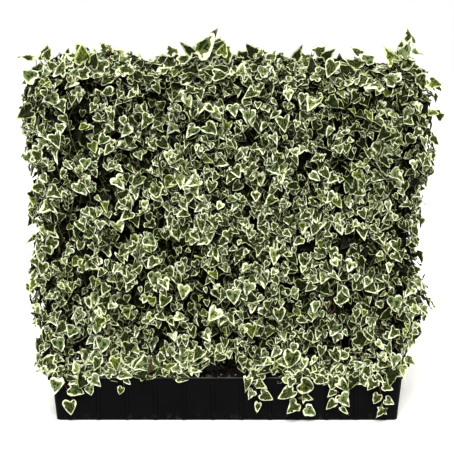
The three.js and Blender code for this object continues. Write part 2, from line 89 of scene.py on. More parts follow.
def lerp(a: float, b: float, share: float) -> float:
    """Number a share of the way from a to b."""
    return a + (b - a) * share


def smooth(value: float, low: float, high: float) -> float:
    """Smooth step from 0 at low to 1 at high."""
    t = min(1.0, max(0.0, (value - low) / (high - low)))
    return t * t * (3 - 2 * t)


def along_table(table: Sequence[tuple[float, float]], at: float) -> float:
    """Reads a table in straight lines between its rows.

    Args:
        table: rows of (place, value), in order.
        at: the place.

    Returns:
        The value there, which past an end is the end row's.
    """
    if at <= table[0][0]:
        return table[0][1]
    for (x0, v0), (x1, v1) in zip(table, table[1:]):
        if at <= x1:
            return lerp(v0, v1, (at - x0) / (x1 - x0))
    return table[-1][1]


class Value:
    """A node's output in a sum: Python's operators on it add Math nodes to its sheet."""

    def __init__(self, sheet: "NodeSheet", socket: bpy.types.NodeSocket) -> None:
        """Keeps the sheet and the socket."""
        self.sheet = sheet
        self.socket = socket

    def _math(self, operation: str, *terms: "Value | Number", clamped: bool = False) -> "Value":
        """Adds a Math node.

        Args:
            operation: the Math node's operation.
            terms: its inputs in order.
            clamped: whether its result is kept in 0 to 1.

        Returns:
            The node's result.
        """
        settings = {"operation": operation, "use_clamp": clamped}
        return self.sheet.value(self.sheet.node("ShaderNodeMath", settings, dict(enumerate(terms))))

    def __add__(self, other: "Value | Number") -> "Value":
        """Sum."""
        return self._math("ADD", self, other)

    def __radd__(self, other: "Value | Number") -> "Value":
        """Sum with a number on the left."""
        return self._math("ADD", other, self)

    def __sub__(self, other: "Value | Number") -> "Value":
        """Difference."""
        return self._math("SUBTRACT", self, other)

    def __rsub__(self, other: "Value | Number") -> "Value":
        """Difference with a number on the left."""
        return self._math("SUBTRACT", other, self)

    def __mul__(self, other: "Value | Number") -> "Value":
        """Product."""
        return self._math("MULTIPLY", self, other)

    def __rmul__(self, other: "Value | Number") -> "Value":
        """Product with a number on the left."""
        return self._math("MULTIPLY", other, self)

    def __truediv__(self, other: "Value | Number") -> "Value":
        """Quotient."""
        return self._math("DIVIDE", self, other)

    def __gt__(self, other: "Value | Number") -> "Value":
        """1 where this is the greater, else 0."""
        return self._math("GREATER_THAN", self, other)

    def __abs__(self) -> "Value":
        """Size without sign."""
        return self._math("ABSOLUTE", self)

    def most(self, other: "Value | Number") -> "Value":
        """The greater of two."""
        return self._math("MAXIMUM", self, other)

    def floor(self) -> "Value":
        """Whole part."""
        return self._math("FLOOR", self)

    def rest(self) -> "Value":
        """What is left past the whole part."""
        return self._math("FRACT", self)

    def clamped(self) -> "Value":
        """The value kept in 0 to 1."""
        return self._math("ADD", self, 0.0, clamped=True)

    def step(self, low: "Value | Number", high: "Value | Number", start: "Value | Number" = 0.0,
             end: "Value | Number" = 1.0) -> "Value":
        """Smooth step from start, where this is low, to end, where it is high."""
        settings = {"interpolation_type": "SMOOTHSTEP"}
        sockets = {"Value": self, "From Min": low, "From Max": high, "To Min": start, "To Max": end}
        return self.sheet.value(self.sheet.node("ShaderNodeMapRange", settings, sockets))


class NodeSheet:
    """A node tree being written: one method adds any node, and the others are short for common ones."""

    def __init__(self, tree: bpy.types.NodeTree) -> None:
        """Keeps the tree."""
        self.tree = tree

    @staticmethod
    def _socket(sockets: Iterable[bpy.types.NodeSocket], key: int | str) -> bpy.types.NodeSocket:
        """Finds a socket.

        Args:
            sockets: the sockets to look among.
            key: its place, or its name, of which the first in use is taken.

        Returns:
            The socket.
        """
        if isinstance(key, int):
            return list(sockets)[key]
        return next(socket for socket in sockets if socket.enabled and socket.name == key)

    def node(self, kind: str, settings: dict | None = None, sockets: dict | None = None) -> bpy.types.Node:
        """Adds a node.

        Args:
            kind: the node's type.
            settings: its properties, set first; stops gives a ramp's (place, colour) pairs.
            sockets: a value or a link for each input, by place or name.

        Returns:
            The node.
        """
        made = self.tree.nodes.new(kind)
        for name, setting in (settings or {}).items():
            if name == "stops":
                self._set_stops(made.color_ramp, setting)
            elif name == "interpolation":
                made.color_ramp.interpolation = setting
            else:
                setattr(made, name, setting)
        for key, content in (sockets or {}).items():
            socket = self._socket(made.inputs, key)
            if isinstance(content, Value):
                self.tree.links.new(content.socket, socket)
            else:
                socket.default_value = content
        return made

    @staticmethod
    def _set_stops(ramp: bpy.types.ColorRamp, stops: Sequence[tuple[float, Sequence[float]]]) -> None:
        """Gives a ramp its stops."""
        while len(ramp.elements) > 1:
            ramp.elements.remove(ramp.elements[-1])
        ramp.elements[0].position = stops[0][0]
        ramp.elements[0].color = stops[0][1]
        for place, colour in stops[1:]:
            ramp.elements.new(place).color = colour

    def value(self, node: bpy.types.Node, key: int | str = 0) -> Value:
        """One output of a node, by name or by place among those in use."""
        in_use = [socket for socket in node.outputs if socket.enabled]
        return Value(self, self._socket(in_use, key))

    def vector(self, operation: str, *terms: Value | Triple | Number) -> Value:
        """Adds a Vector Math node; the second term of SCALE is its scale."""
        sockets: dict = dict(enumerate(terms))
        if operation == "SCALE":
            sockets["Scale"] = sockets.pop(1)
        return self.value(self.node("ShaderNodeVectorMath", {"operation": operation}, sockets))

    def mix(self, share: Value | Number, first: Value | Sequence[float], second: Value | Sequence[float],
            kind: str = "MIX") -> Value:
        """Colour a share of the way from the first to the second, or of another of the Mix node's blends."""
        sockets = {"Factor": share, "A": first, "B": second}
        settings = {"data_type": "RGBA", "blend_type": kind}
        return self.value(self.node("ShaderNodeMix", settings, sockets), "Result")

    def noise(self, at: Value, scale: float, detail: float = 2.0, roughness: float = 0.5) -> Value:
        """Noise in 0 to 1 at a place."""
        sockets = {"Vector": at, "Scale": scale, "Detail": detail, "Roughness": roughness}
        return self.value(self.node("ShaderNodeTexNoise", {}, sockets))

    def ramp(self, at: Value, stops: Sequence[tuple[float, Sequence[float]]], stepped: bool = False) -> Value:
        """Colour of a ramp at a value."""
        settings = {"interpolation": "CONSTANT" if stepped else "LINEAR", "stops": stops}
        return self.value(self.node("ShaderNodeValToRGB", settings, {0: at}), "Color")

    def split(self, vector: Value) -> tuple[Value, Value, Value]:
        """The three parts of a vector."""
        node = self.node("ShaderNodeSeparateXYZ", {}, {0: vector})
        return self.value(node, 0), self.value(node, 1), self.value(node, 2)

    def joined(self, x: Value | Number, y: Value | Number, z: Value | Number = 0.0) -> Value:
        """A vector of three parts."""
        return self.value(self.node("ShaderNodeCombineXYZ", {}, {0: x, 1: y, 2: z}))

    def attribute(self, name: str) -> Value:
        """A mesh attribute, in a material."""
        return self.value(self.node("ShaderNodeAttribute", {"attribute_name": name}), "Fac")

    def place(self) -> Value:
        """The Object coordinates, in a material."""
        return self.value(self.node("ShaderNodeTexCoord"), "Object")


class Paint:
    """A material being mixed: its sheet, its surface shader and what goes into it."""

    def __init__(self, name: str, **plain: float) -> None:
        """Starts a material.

        Args:
            name: the material's name.
            plain: numbers that are the same all over, by the shader's socket names with _ for a space.
        """
        self.material = bpy.data.materials.new(name)
        self.material.use_nodes = True
        self.material.node_tree.nodes.clear()
        self.sheet = NodeSheet(self.material.node_tree)
        named = {key.replace("_", " "): number for key, number in plain.items()}
        self.shader = self.sheet.node("ShaderNodeBsdfPrincipled", {}, named)
        surface = self.sheet.value(self.shader)
        self.sheet.node("ShaderNodeOutputMaterial", {}, {"Surface": surface})

    def feed(self, name: str, content: Value) -> None:
        """Links a value to one of the shader's sockets."""
        self.sheet.tree.links.new(content.socket, self.shader.inputs[name])

    def relief(self, height: Value, strength: float, distance: float) -> None:
        """Feeds a height to the shader's normal through a Bump node."""
        sockets = {"Strength": strength, "Distance": distance, "Height": height}
        self.feed("Normal", self.sheet.value(self.sheet.node("ShaderNodeBump", {}, sockets)))


class GrowthSheet(NodeSheet):
    """A Geometry Nodes tree with named inputs, one geometry in and one out."""

    def __init__(self, name: str) -> None:
        """Starts the tree."""
        super().__init__(bpy.data.node_groups.new(name, "GeometryNodeTree"))
        self.tree.interface.new_socket("Geometry", in_out="INPUT", socket_type="NodeSocketGeometry")
        self.tree.interface.new_socket("Geometry", in_out="OUTPUT", socket_type="NodeSocketGeometry")
        self.entry = self.node("NodeGroupInput")
        self.exit = self.node("NodeGroupOutput")
        self.seeds = 0

    def dial(self, name: str, kind: str) -> Value:
        """Adds a named input; kind is Float, Int, Vector, Collection or Material."""
        self.tree.interface.new_socket(name, in_out="INPUT", socket_type=f"NodeSocket{kind}")
        return self.value(self.entry, name)

    def geometry(self) -> Value:
        """The geometry that comes in."""
        return self.value(self.entry, "Geometry")

    def chance(self, seed: Value, low: Value | Number, high: Value | Number, kind: str = "FLOAT") -> Value:
        """A random number or vector for each point, with a seed of its own on top of the tree's."""
        self.seeds += 1
        sockets = {"Min": low, "Max": high, "Seed": seed + self.seeds}
        return self.value(self.node("FunctionNodeRandomValue", {"data_type": kind}, sockets))

    def jitter(self, seed: Value) -> Value:
        """A random vector for each point, each part from -1 to 1."""
        return self.chance(seed, (-1.0, -1.0, -1.0), (1.0, 1.0, 1.0), "FLOAT_VECTOR")

    def turned(self, rotation: Value | None, axis: str, towards: Value, pivot: str = "AUTO") -> Value:
        """Turns a rotation so that one of its axes points towards a vector.

        Args:
            rotation: the rotation, or None to start from none.
            axis: the axis that is turned.
            towards: the vector.
            pivot: the axis that stays where it is.

        Returns:
            The new rotation.
        """
        sockets: dict = {"Vector": towards}
        if rotation is not None:
            sockets["Rotation"] = rotation
        settings = {"axis": axis, "pivot_axis": pivot}
        return self.value(self.node("FunctionNodeAlignRotationToVector", settings, sockets))

    def named(self, name: str, kind: str = "FLOAT") -> Value:
        """An attribute of the geometry, by name."""
        return self.value(self.node("GeometryNodeInputNamedAttribute", {"data_type": kind}, {"Name": name}))

    def circle(self, sides: Value) -> Value:
        """A round section of unit radius."""
        sockets = {"Resolution": sides, "Radius": 1.0}
        return self.value(self.node("GeometryNodeCurvePrimitiveCircle", {}, sockets))

    def lines(self) -> Value:
        """The lines that come in, as curves."""
        return self.value(self.node("GeometryNodeMeshToCurve", {}, {"Mesh": self.geometry()}))

    def tube(self, curve: Value, section: Value) -> Value:
        """Smooth closed tubes along curves, as wide as their girth says."""
        sockets = {"Curve": curve, "Profile Curve": section, "Scale": self.named(GIRTH), "Fill Caps": True}
        return self.value(self.node("GeometryNodeCurveToMesh", {}, sockets))

    def planted(self, points: Value, kit: Value, placing: dict) -> Value:
        """Puts patterns of a collection on points.

        Args:
            points: the points.
            kit: the collection.
            placing: the pick, turn and size of each pattern, by socket names.

        Returns:
            The patterns in their places.
        """
        source = self.node("GeometryNodeCollectionInfo", {}, {
            "Collection": kit, "Separate Children": True, "Reset Children": True,
        })
        sockets = {"Points": points, "Instance": self.value(source), "Pick Instance": True, **placing}
        return self.value(self.node("GeometryNodeInstanceOnPoints", {}, sockets))

    def moved(self, geometry: Value, offset: Value) -> Value:
        """A geometry with its points moved."""
        sockets = {"Geometry": geometry, "Offset": offset}
        return self.value(self.node("GeometryNodeSetPosition", {}, sockets))

    def total(self, first: Value, *others: Value | Triple) -> Value:
        """Sum of vectors."""
        for other in others:
            first = self.vector("ADD", first, other)
        return first

    def captured(self, geometry: Value, field_value: Value) -> tuple[Value, Value]:
        """Keeps a value of a geometry's points for later.

        Args:
            geometry: the geometry.
            field_value: the value at each point.

        Returns:
            The geometry, and the kept value.
        """
        node = self.node("GeometryNodeCaptureAttribute")
        node.capture_items.new("FLOAT", "kept")
        self.tree.links.new(geometry.socket, node.inputs["Geometry"])
        self.tree.links.new(field_value.socket, node.inputs["kept"])
        return self.value(node, "Geometry"), self.value(node, "kept")

    def finish(self, parts: Sequence[Value], material: Value) -> None:
        """Ends the tree: the parts together, as real geometry, in one material."""
        join = self.node("GeometryNodeJoinGeometry")
        for part in parts:
            self.tree.links.new(part.socket, join.inputs[0])
        real = self.value(self.node("GeometryNodeRealizeInstances", {}, {"Geometry": self.value(join)}))
        dressed = self.node("GeometryNodeSetMaterial", {}, {"Geometry": real, "Material": material})
        self.tree.links.new(self.value(dressed).socket, self.exit.inputs["Geometry"])

    def grow(self, piece: bpy.types.Object, settings: dict) -> bpy.types.Object:
        """Runs the tree on an object and leaves the result as the object's plain mesh.

        Args:
            piece: the object, whose mesh is what the tree starts from.
            settings: what each named input is.

        Returns:
            The same object.
        """
        modifier = piece.modifiers.new("growth", "NODES")
        modifier.node_group = self.tree
        for item in self.tree.interface.items_tree:
            if item.in_out == "INPUT" and item.name in settings:
                modifier[item.identifier] = settings[item.name]
        graph = bpy.context.evaluated_depsgraph_get()
        evaluated = piece.evaluated_get(graph)
        mesh = bpy.data.meshes.new_from_object(evaluated, preserve_all_data_layers=True, depsgraph=graph)
        start = piece.data
        piece.modifiers.clear()
        piece.data = mesh
        bpy.data.meshes.remove(start)
        mesh.name = piece.name
        return piece


def new_piece(name: str, points: Sequence[Sequence[float]], faces: Sequence[Sequence[int]],
              edges: Sequence[Sequence[int]] = ()) -> bpy.types.Object:
    """A mesh object in the scene, with its place in its mesh.

    Args:
        name: the object's name.
        points: its vertices.
        faces: its faces.
        edges: its loose edges.

    Returns:
        The object.
    """
    mesh = bpy.data.meshes.new(name)
    mesh.from_pydata([tuple(p) for p in points], [tuple(e) for e in edges], [tuple(f) for f in faces])
    mesh.update()
    piece = bpy.data.objects.new(name, mesh)
    bpy.context.scene.collection.objects.link(piece)
    return piece


def smooth_path(knots: Sequence[Vector], steps: int) -> list[Vector]:
    """Draws a smooth curve.

    Args:
        knots: the points that it goes through.
        steps: how many steps it takes from each to the next.

    Returns:
        The curve's points.
    """
    ends = [2 * knots[0] - knots[1], *knots, 2 * knots[-1] - knots[-2]]
    points = []
    for p0, p1, p2, p3 in zip(ends, ends[1:], ends[2:], ends[3:]):
        for i in range(steps):
            t = i / steps
            bend = 2 * p0 - 5 * p1 + 4 * p2 - p3
            points.append(p1 + 0.5 * t * (p2 - p0 + t * (bend + t * (3 * p1 - p0 - 3 * p2 + p3))))
    return [*points, knots[-1].copy()]


def taper(thick: float, thin: float, count: int) -> list[float]:
    """Radii that fall evenly from thick to thin."""
    return [lerp(thick, thin, i / (count - 1)) for i in range(count)]


def band(low: Sequence[int], high: Sequence[int]) -> list[Sequence[int]]:
    """Quads between two closed loops, facing out where both run anticlockwise and high is above."""
    count = len(low)
    return [(low[i], low[(i + 1) % count], high[(i + 1) % count], high[i]) for i in range(count)]


def stack(count: int, loops: int) -> list[Sequence[int]]:
    """Quads between closed loops of points that follow each other, each of one count."""
    rows = [range(row * count, (row + 1) * count) for row in range(loops)]
    return [quad for low, high in zip(rows, rows[1:]) for quad in band(low, high)]


def mark(mesh: bpy.types.Mesh, name: str, values: Sequence[float], kind: str = "FLOAT") -> None:
    """Gives each point of a mesh a number of its own, or three for a vector, under a name."""
    part = "vector" if kind == "FLOAT_VECTOR" else "value"
    mesh.attributes.new(name, kind, "POINT").data.foreach_set(part, values)


def new_lines(name: str, lines: Sequence[tuple[Sequence[Vector], Sequence[float]]]) -> bpy.types.Object:
    """An object of open lines, each a list of points with the radius that its tube has at each.

    Args:
        name: the object's name.
        lines: the points and radii of each line.

    Returns:
        The object, with the radii in its girth attribute.
    """
    points: list[Vector] = []
    edges: list[tuple[int, int]] = []
    girths: list[float] = []
    for line, radii in lines:
        edges += [(len(points) + i, len(points) + i + 1) for i in range(len(line) - 1)]
        points += line
        girths += radii
    piece = new_piece(name, points, [], edges)
    mark(piece.data, GIRTH, girths)
    return piece


def settle(piece: bpy.types.Object, nodes: Sequence[str]) -> None:
    """Hands a finished piece over.

    Args:
        piece: the piece, which rides on the body.
        nodes: the CAD nodes that it stands for.
    """
    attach(piece, BODY)
    if nodes:
        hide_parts(*nodes)
    piece.data.calc_loop_triangles()
    LOG.info("%s: %d triangles", piece.name, len(piece.data.loop_triangles))


def discard(pattern: bpy.types.Object) -> None:
    """Takes a pattern away once nothing more is grown from it."""
    mesh = pattern.data
    bpy.data.objects.remove(pattern)
    bpy.data.meshes.remove(mesh)


def clear_tray(tray: bpy.types.Collection) -> None:
    """Takes a collection of patterns away."""
    for pattern in list(tray.objects):
        discard(pattern)
    bpy.data.collections.remove(tray)


class LeafForm(Enum):
    """The outlines that the hedge's leaves have, by the row of the leaf atlas that each is painted in."""

    HEART = 0
    ARROW = 1
    SHIELD = 2
    BROAD = 3
    LANCE = 4
    BIRDFOOT = 5
    TRIANGLE = 6
    YOUNG = 7


class LeafTone(Enum):
    """The colourings of a leaf's upper side, by the column of the leaf atlas that each is painted in."""

    MARBLED = 0
    DEEP = 1
    GREY = 2
    LIME = 3
    CREAM = 4
    # painted shade: near-black leaves for the deep layers, standing for the dark gaps inside the hedge
    OLD = 5


UNDERSIDE_COLUMNS = (6, 7)
ATLAS_CELLS = 8
CELL_SCALE = 0.66
CELL_BASE = 0.22

# Right-hand edges from the stalk at (0, 0) round to the tip, in leaf lengths, and the tip's height.
LEAF_EDGES: dict[LeafForm, tuple[tuple[tuple[float, float], ...], float]] = {
    LeafForm.HEART: (
        ((0.13, -0.13), (0.32, -0.17), (0.47, -0.05), (0.51, 0.15), (0.41, 0.39), (0.26, 0.64), (0.12, 0.85)),
        1.0,
    ),
    LeafForm.ARROW: (
        ((0.13, -0.12), (0.33, -0.26), (0.47, -0.19), (0.42, 0.07), (0.33, 0.31), (0.22, 0.57), (0.10, 0.83)),
        1.06,
    ),
    LeafForm.SHIELD: (
        ((0.13, -0.12), (0.33, -0.16), (0.49, -0.03), (0.57, 0.20), (0.38, 0.35), (0.29, 0.58), (0.13, 0.83)),
        1.02,
    ),
    LeafForm.BROAD: (
        ((0.15, -0.15), (0.36, -0.17), (0.54, 0.00), (0.57, 0.22), (0.46, 0.44), (0.31, 0.65), (0.15, 0.83)),
        0.95,
    ),
    LeafForm.LANCE: (
        ((0.09, -0.09), (0.21, -0.13), (0.32, -0.02), (0.33, 0.17), (0.26, 0.42), (0.17, 0.66), (0.08, 0.88)),
        1.08,
    ),
    LeafForm.BIRDFOOT: (
        ((0.12, -0.13), (0.38, -0.29), (0.33, -0.01), (0.62, 0.26), (0.29, 0.37), (0.24, 0.60), (0.11, 0.84)),
        1.08,
    ),
    LeafForm.TRIANGLE: (
        ((0.16, -0.07), (0.37, -0.12), (0.53, -0.10), (0.53, 0.04), (0.41, 0.28), (0.27, 0.53), (0.13, 0.80)),
        1.03,
    ),
    LeafForm.YOUNG: (
        ((0.11, -0.08), (0.26, -0.10), (0.40, 0.02), (0.47, 0.24), (0.35, 0.42), (0.27, 0.62), (0.13, 0.82)),
        0.94,
    ),
}


@dataclass(frozen=True)
class LeafCurl:
    """How a blade leaves its pattern, in leaf lengths: in its plane its width, its longer side and its bend,
    and out of it its fold along the midrib, droop, cup, wave, twist and crinkle."""

    width: float
    lean: float
    bend: float
    fold: float
    droop: float
    cup: float
    wave: float
    phase: float
    twist: float
    crinkle: float

    @staticmethod
    def pick(chance: random.Random) -> "LeafCurl":
        """A curl drawn at random."""
        return LeafCurl(
            width=chance.uniform(0.82, 1.08),
            lean=chance.uniform(-0.14, 0.14),
            bend=chance.uniform(-0.16, 0.16),
            fold=chance.uniform(-0.12, 0.55),
            droop=chance.uniform(-0.15, 0.50),
            cup=chance.uniform(-0.35, 0.40),
            wave=chance.uniform(0.10, 0.42),
            phase=chance.uniform(0, 2 * math.pi),
            twist=chance.uniform(-0.30, 0.30),
            crinkle=chance.uniform(0.03, 0.09),
        )

    def shape(self, x: float, y: float) -> Vector:
        """Curls a point of the flat pattern.

        Args:
            x: how far it is to the right of the midrib.
            y: how far it is from the stalk towards the tip.

        Returns:
            Where it comes to.
        """
        rim = x * x + (y - 0.3) * (y - 0.3)
        swing = math.sin(self.phase + 5.0 * math.atan2(y - 0.3, x + 1e-6))
        ripple = noise.noise(Vector((4.2 * x, 4.2 * y, self.phase)))
        lift = self.fold * abs(x) - self.droop * max(0.0, y - 0.1) ** 2 + self.cup * rim
        lift += self.wave * rim * swing + self.twist * x * y + self.crinkle * ripple
        side = 1 + self.lean if x > 0 else 1 - self.lean
        return Vector((x * self.width * side + self.bend * max(0.0, y) ** 2, y, lift))


@dataclass
class LeafPattern:
    """One leaf as a closed blade with its stalk, painted in its own cells of the leaf atlas."""

    form: LeafForm
    tone: LeafTone
    curl: LeafCurl
    underside: int
    fine: bool = True
    thickness: float = 0.012
    stalk_radius: float = 0.017
    stalk_run: float = 0.62

    def outline(self) -> list[tuple[float, float]]:
        """The blade's edge, anticlockwise from the stalk."""
        right, tip = LEAF_EDGES[self.form]
        left = [(-x * 0.94, y * 1.03) for x, y in reversed(right)]
        return [(0.0, 0.0), *right, (0.0, tip), *left]

    def half_width(self, y: float) -> float:
        """Half width of the blade at a height."""
        right, tip = LEAF_EDGES[self.form]
        above = sorted((height, width) for width, height in right if height >= -0.1)
        return along_table([*above, (tip, 0.0)], y)

    def inner_points(self) -> list[tuple[float, float]]:
        """Points inside the blade: some on the midrib and some on each side of it."""
        tip = LEAF_EDGES[self.form][1]
        ribs = (0.13, 0.34, 0.57, 0.78) if self.fine else (0.24, 0.60)
        sides = (0.01, 0.20, 0.42) if self.fine else (0.14,)
        middle = [(0.0, share * tip) for share in ribs]
        return middle + [(sign * 0.54 * self.half_width(y), y) for y in sides for sign in (1, -1)]

    def margin_depth(self, point: tuple[float, float], edge: Sequence[tuple[float, float]]) -> float:
        """Measures how deep inside the blade a point is.

        Args:
            point: the point.
            edge: the blade's outline.

        Returns:
            The distance to the outline.
        """
        here = Vector(point)
        depths = []
        for start, end in zip(edge, [*edge[1:], edge[0]]):
            a = Vector(start)
            run = Vector(end) - a
            share = min(1.0, max(0.0, (here - a).dot(run) / run.length_squared))
            depths.append((here - a - share * run).length)
        return min(depths)

    def cell(self, column: int, x: float, y: float) -> tuple[float, float]:
        """Place in the atlas of a point of the blade."""
        u = (column + 0.5 + x * CELL_SCALE) / ATLAS_CELLS
        v = (self.form.value + CELL_BASE + y * CELL_SCALE) / ATLAS_CELLS
        return u, v

    def stalk_cell(self, around: float, along: float) -> tuple[float, float]:
        """Place in the atlas of a point of the stalk, in the corner that no blade reaches."""
        u = (self.tone.value + 0.02 + 0.08 * around) / ATLAS_CELLS
        v = (self.form.value + 0.78 + 0.19 * along) / ATLAS_CELLS
        return u, v

    def stalk_rings(self) -> list[list[Vector]]:
        """Three rings of the stalk, from under the blade back towards the stem."""
        lean = 0.25 * math.sin(self.curl.phase)
        run = self.stalk_run
        bend = Vector((0.3 * lean, -0.13, -0.3 * run))
        path = [Vector((0.0, 0.05, -0.006)), bend, Vector((lean, -0.02, -run))]
        rings = []
        for centre, radius in zip(path, (self.stalk_radius, self.stalk_radius, 1.25 * self.stalk_radius)):
            turns = [2 * math.pi * i / 3 for i in range(3)]
            ring = [centre + radius * Vector((math.cos(a), math.sin(a), 0.35 * math.sin(a))) for a in turns]
            rings.append(ring)
        return rings

    def build(self, name: str) -> bpy.types.Object:
        """Makes the leaf, with its atlas map and its margin depths.

        Args:
            name: the object's name.

        Returns:
            The object, which isn't in the scene.
        """
        edge = self.outline()
        flat = edge + self.inner_points()
        rim = len(edge)
        loop = [(i, (i + 1) % rim) for i in range(rim)]
        cut = delaunay_2d_cdt([Vector(p) for p in flat], loop, [], 1, 1e-6)
        names = [ids[0] for ids in cut[3]]
        triangles = [tuple(names[i] for i in face) for face in cut[2]]
        depths = [0.0] * rim + [self.margin_depth(p, edge) for p in flat[rim:]]
        points = [self.curl.shape(x, y) for x, y in flat]
        lower = [points[i] - Vector((0.0, 0.0, self.thickness)) for i in range(rim, len(flat))]
        under = {i: (i if i < rim else len(flat) + i - rim) for i in range(len(flat))}
        faces = [tuple(face) for face in triangles]
        corners = [[self.cell(self.tone.value, *flat[i]) for i in face] for face in triangles]
        for a, b, c in triangles:
            faces.append((under[c], under[b], under[a]))
            corners.append([self.cell(self.underside, *flat[i]) for i in (c, b, a)])
        points += lower
        depths += depths[rim:]
        first = len(points)
        rings = self.stalk_rings() if self.fine else []
        for ring in rings:
            points += ring
            depths += [1.0] * 3
        for row in range(len(rings) - 1):
            for i in range(3):
                j = (i + 1) % 3
                a = first + 3 * row
                faces.append((a + i, a + i + 3, a + j + 3, a + j))
                turns = ((i, row), (i, row + 1), (i + 1, row + 1), (i + 1, row))
                corners.append([self.stalk_cell(turn / 3, along / 2) for turn, along in turns])
        if rings:
            faces.append((first, first + 1, first + 2))
            corners.append([self.stalk_cell(*place) for place in ((0, 0), (0.5, 0.1), (1, 0))])
            faces.append((first + 8, first + 7, first + 6))
            corners.append([self.stalk_cell(*place) for place in ((0, 1), (0.5, 0.9), (1, 1))])
        mesh = bpy.data.meshes.new(name)
        mesh.from_pydata([tuple(p) for p in points], [], faces)
        self._dress(mesh, corners, depths, rim)
        return bpy.data.objects.new(name, mesh)

    def _dress(self, mesh: bpy.types.Mesh, corners: Sequence[Sequence[tuple[float, float]]],
               depths: Sequence[float], rim: int) -> None:
        """Gives a leaf's mesh its atlas map, its margin depths and a crisp edge."""
        layer = mesh.uv_layers.new(name=ATLAS_MAP)
        places = [number for face in corners for corner in face for number in corner]
        layer.data.foreach_set("uv", places)
        mark(mesh, MARGIN, depths)
        mesh.shade_smooth()
        for line in mesh.edges:
            line.use_edge_sharp = line.vertices[0] < rim and line.vertices[1] < rim and (
                abs(line.vertices[0] - line.vertices[1]) in (1, rim - 1)
            )
        mesh.update()


@dataclass
class LeafKit:
    """A tray of leaf patterns to pick from; a kind that is wanted more often is in it more often."""

    name: str
    tones: dict[LeafTone, int]
    forms: dict[LeafForm, int]
    seed: int
    fine: bool = True
    collection: bpy.types.Collection = field(init=False)
    count: int = field(init=False, default=0)

    def __post_init__(self) -> None:
        """Fills the tray."""
        self.collection = bpy.data.collections.new(self.name)
        chance = random.Random(self.seed)
        for form, often in self.forms.items():
            for tone, times in self.tones.items():
                for _ in range(often * times):
                    self._add(form, tone, chance)

    def _add(self, form: LeafForm, tone: LeafTone, chance: random.Random) -> None:
        """Adds one pattern with a curl of its own."""
        curl = LeafCurl.pick(chance)
        underside = UNDERSIDE_COLUMNS[chance.randrange(2)]
        pattern = LeafPattern(form, tone, curl, underside, self.fine, stalk_run=chance.uniform(0.4, 0.8))
        self.collection.objects.link(pattern.build(f"{self.name}_{self.count:03d}"))
        self.count += 1


@dataclass(frozen=True)
class LeafTint:
    """The colours of one column of the leaf atlas, and how deep its pale margin is in leaf lengths."""

    core: Colour
    pale: Colour
    margin: Colour
    depth: float
    halo: float


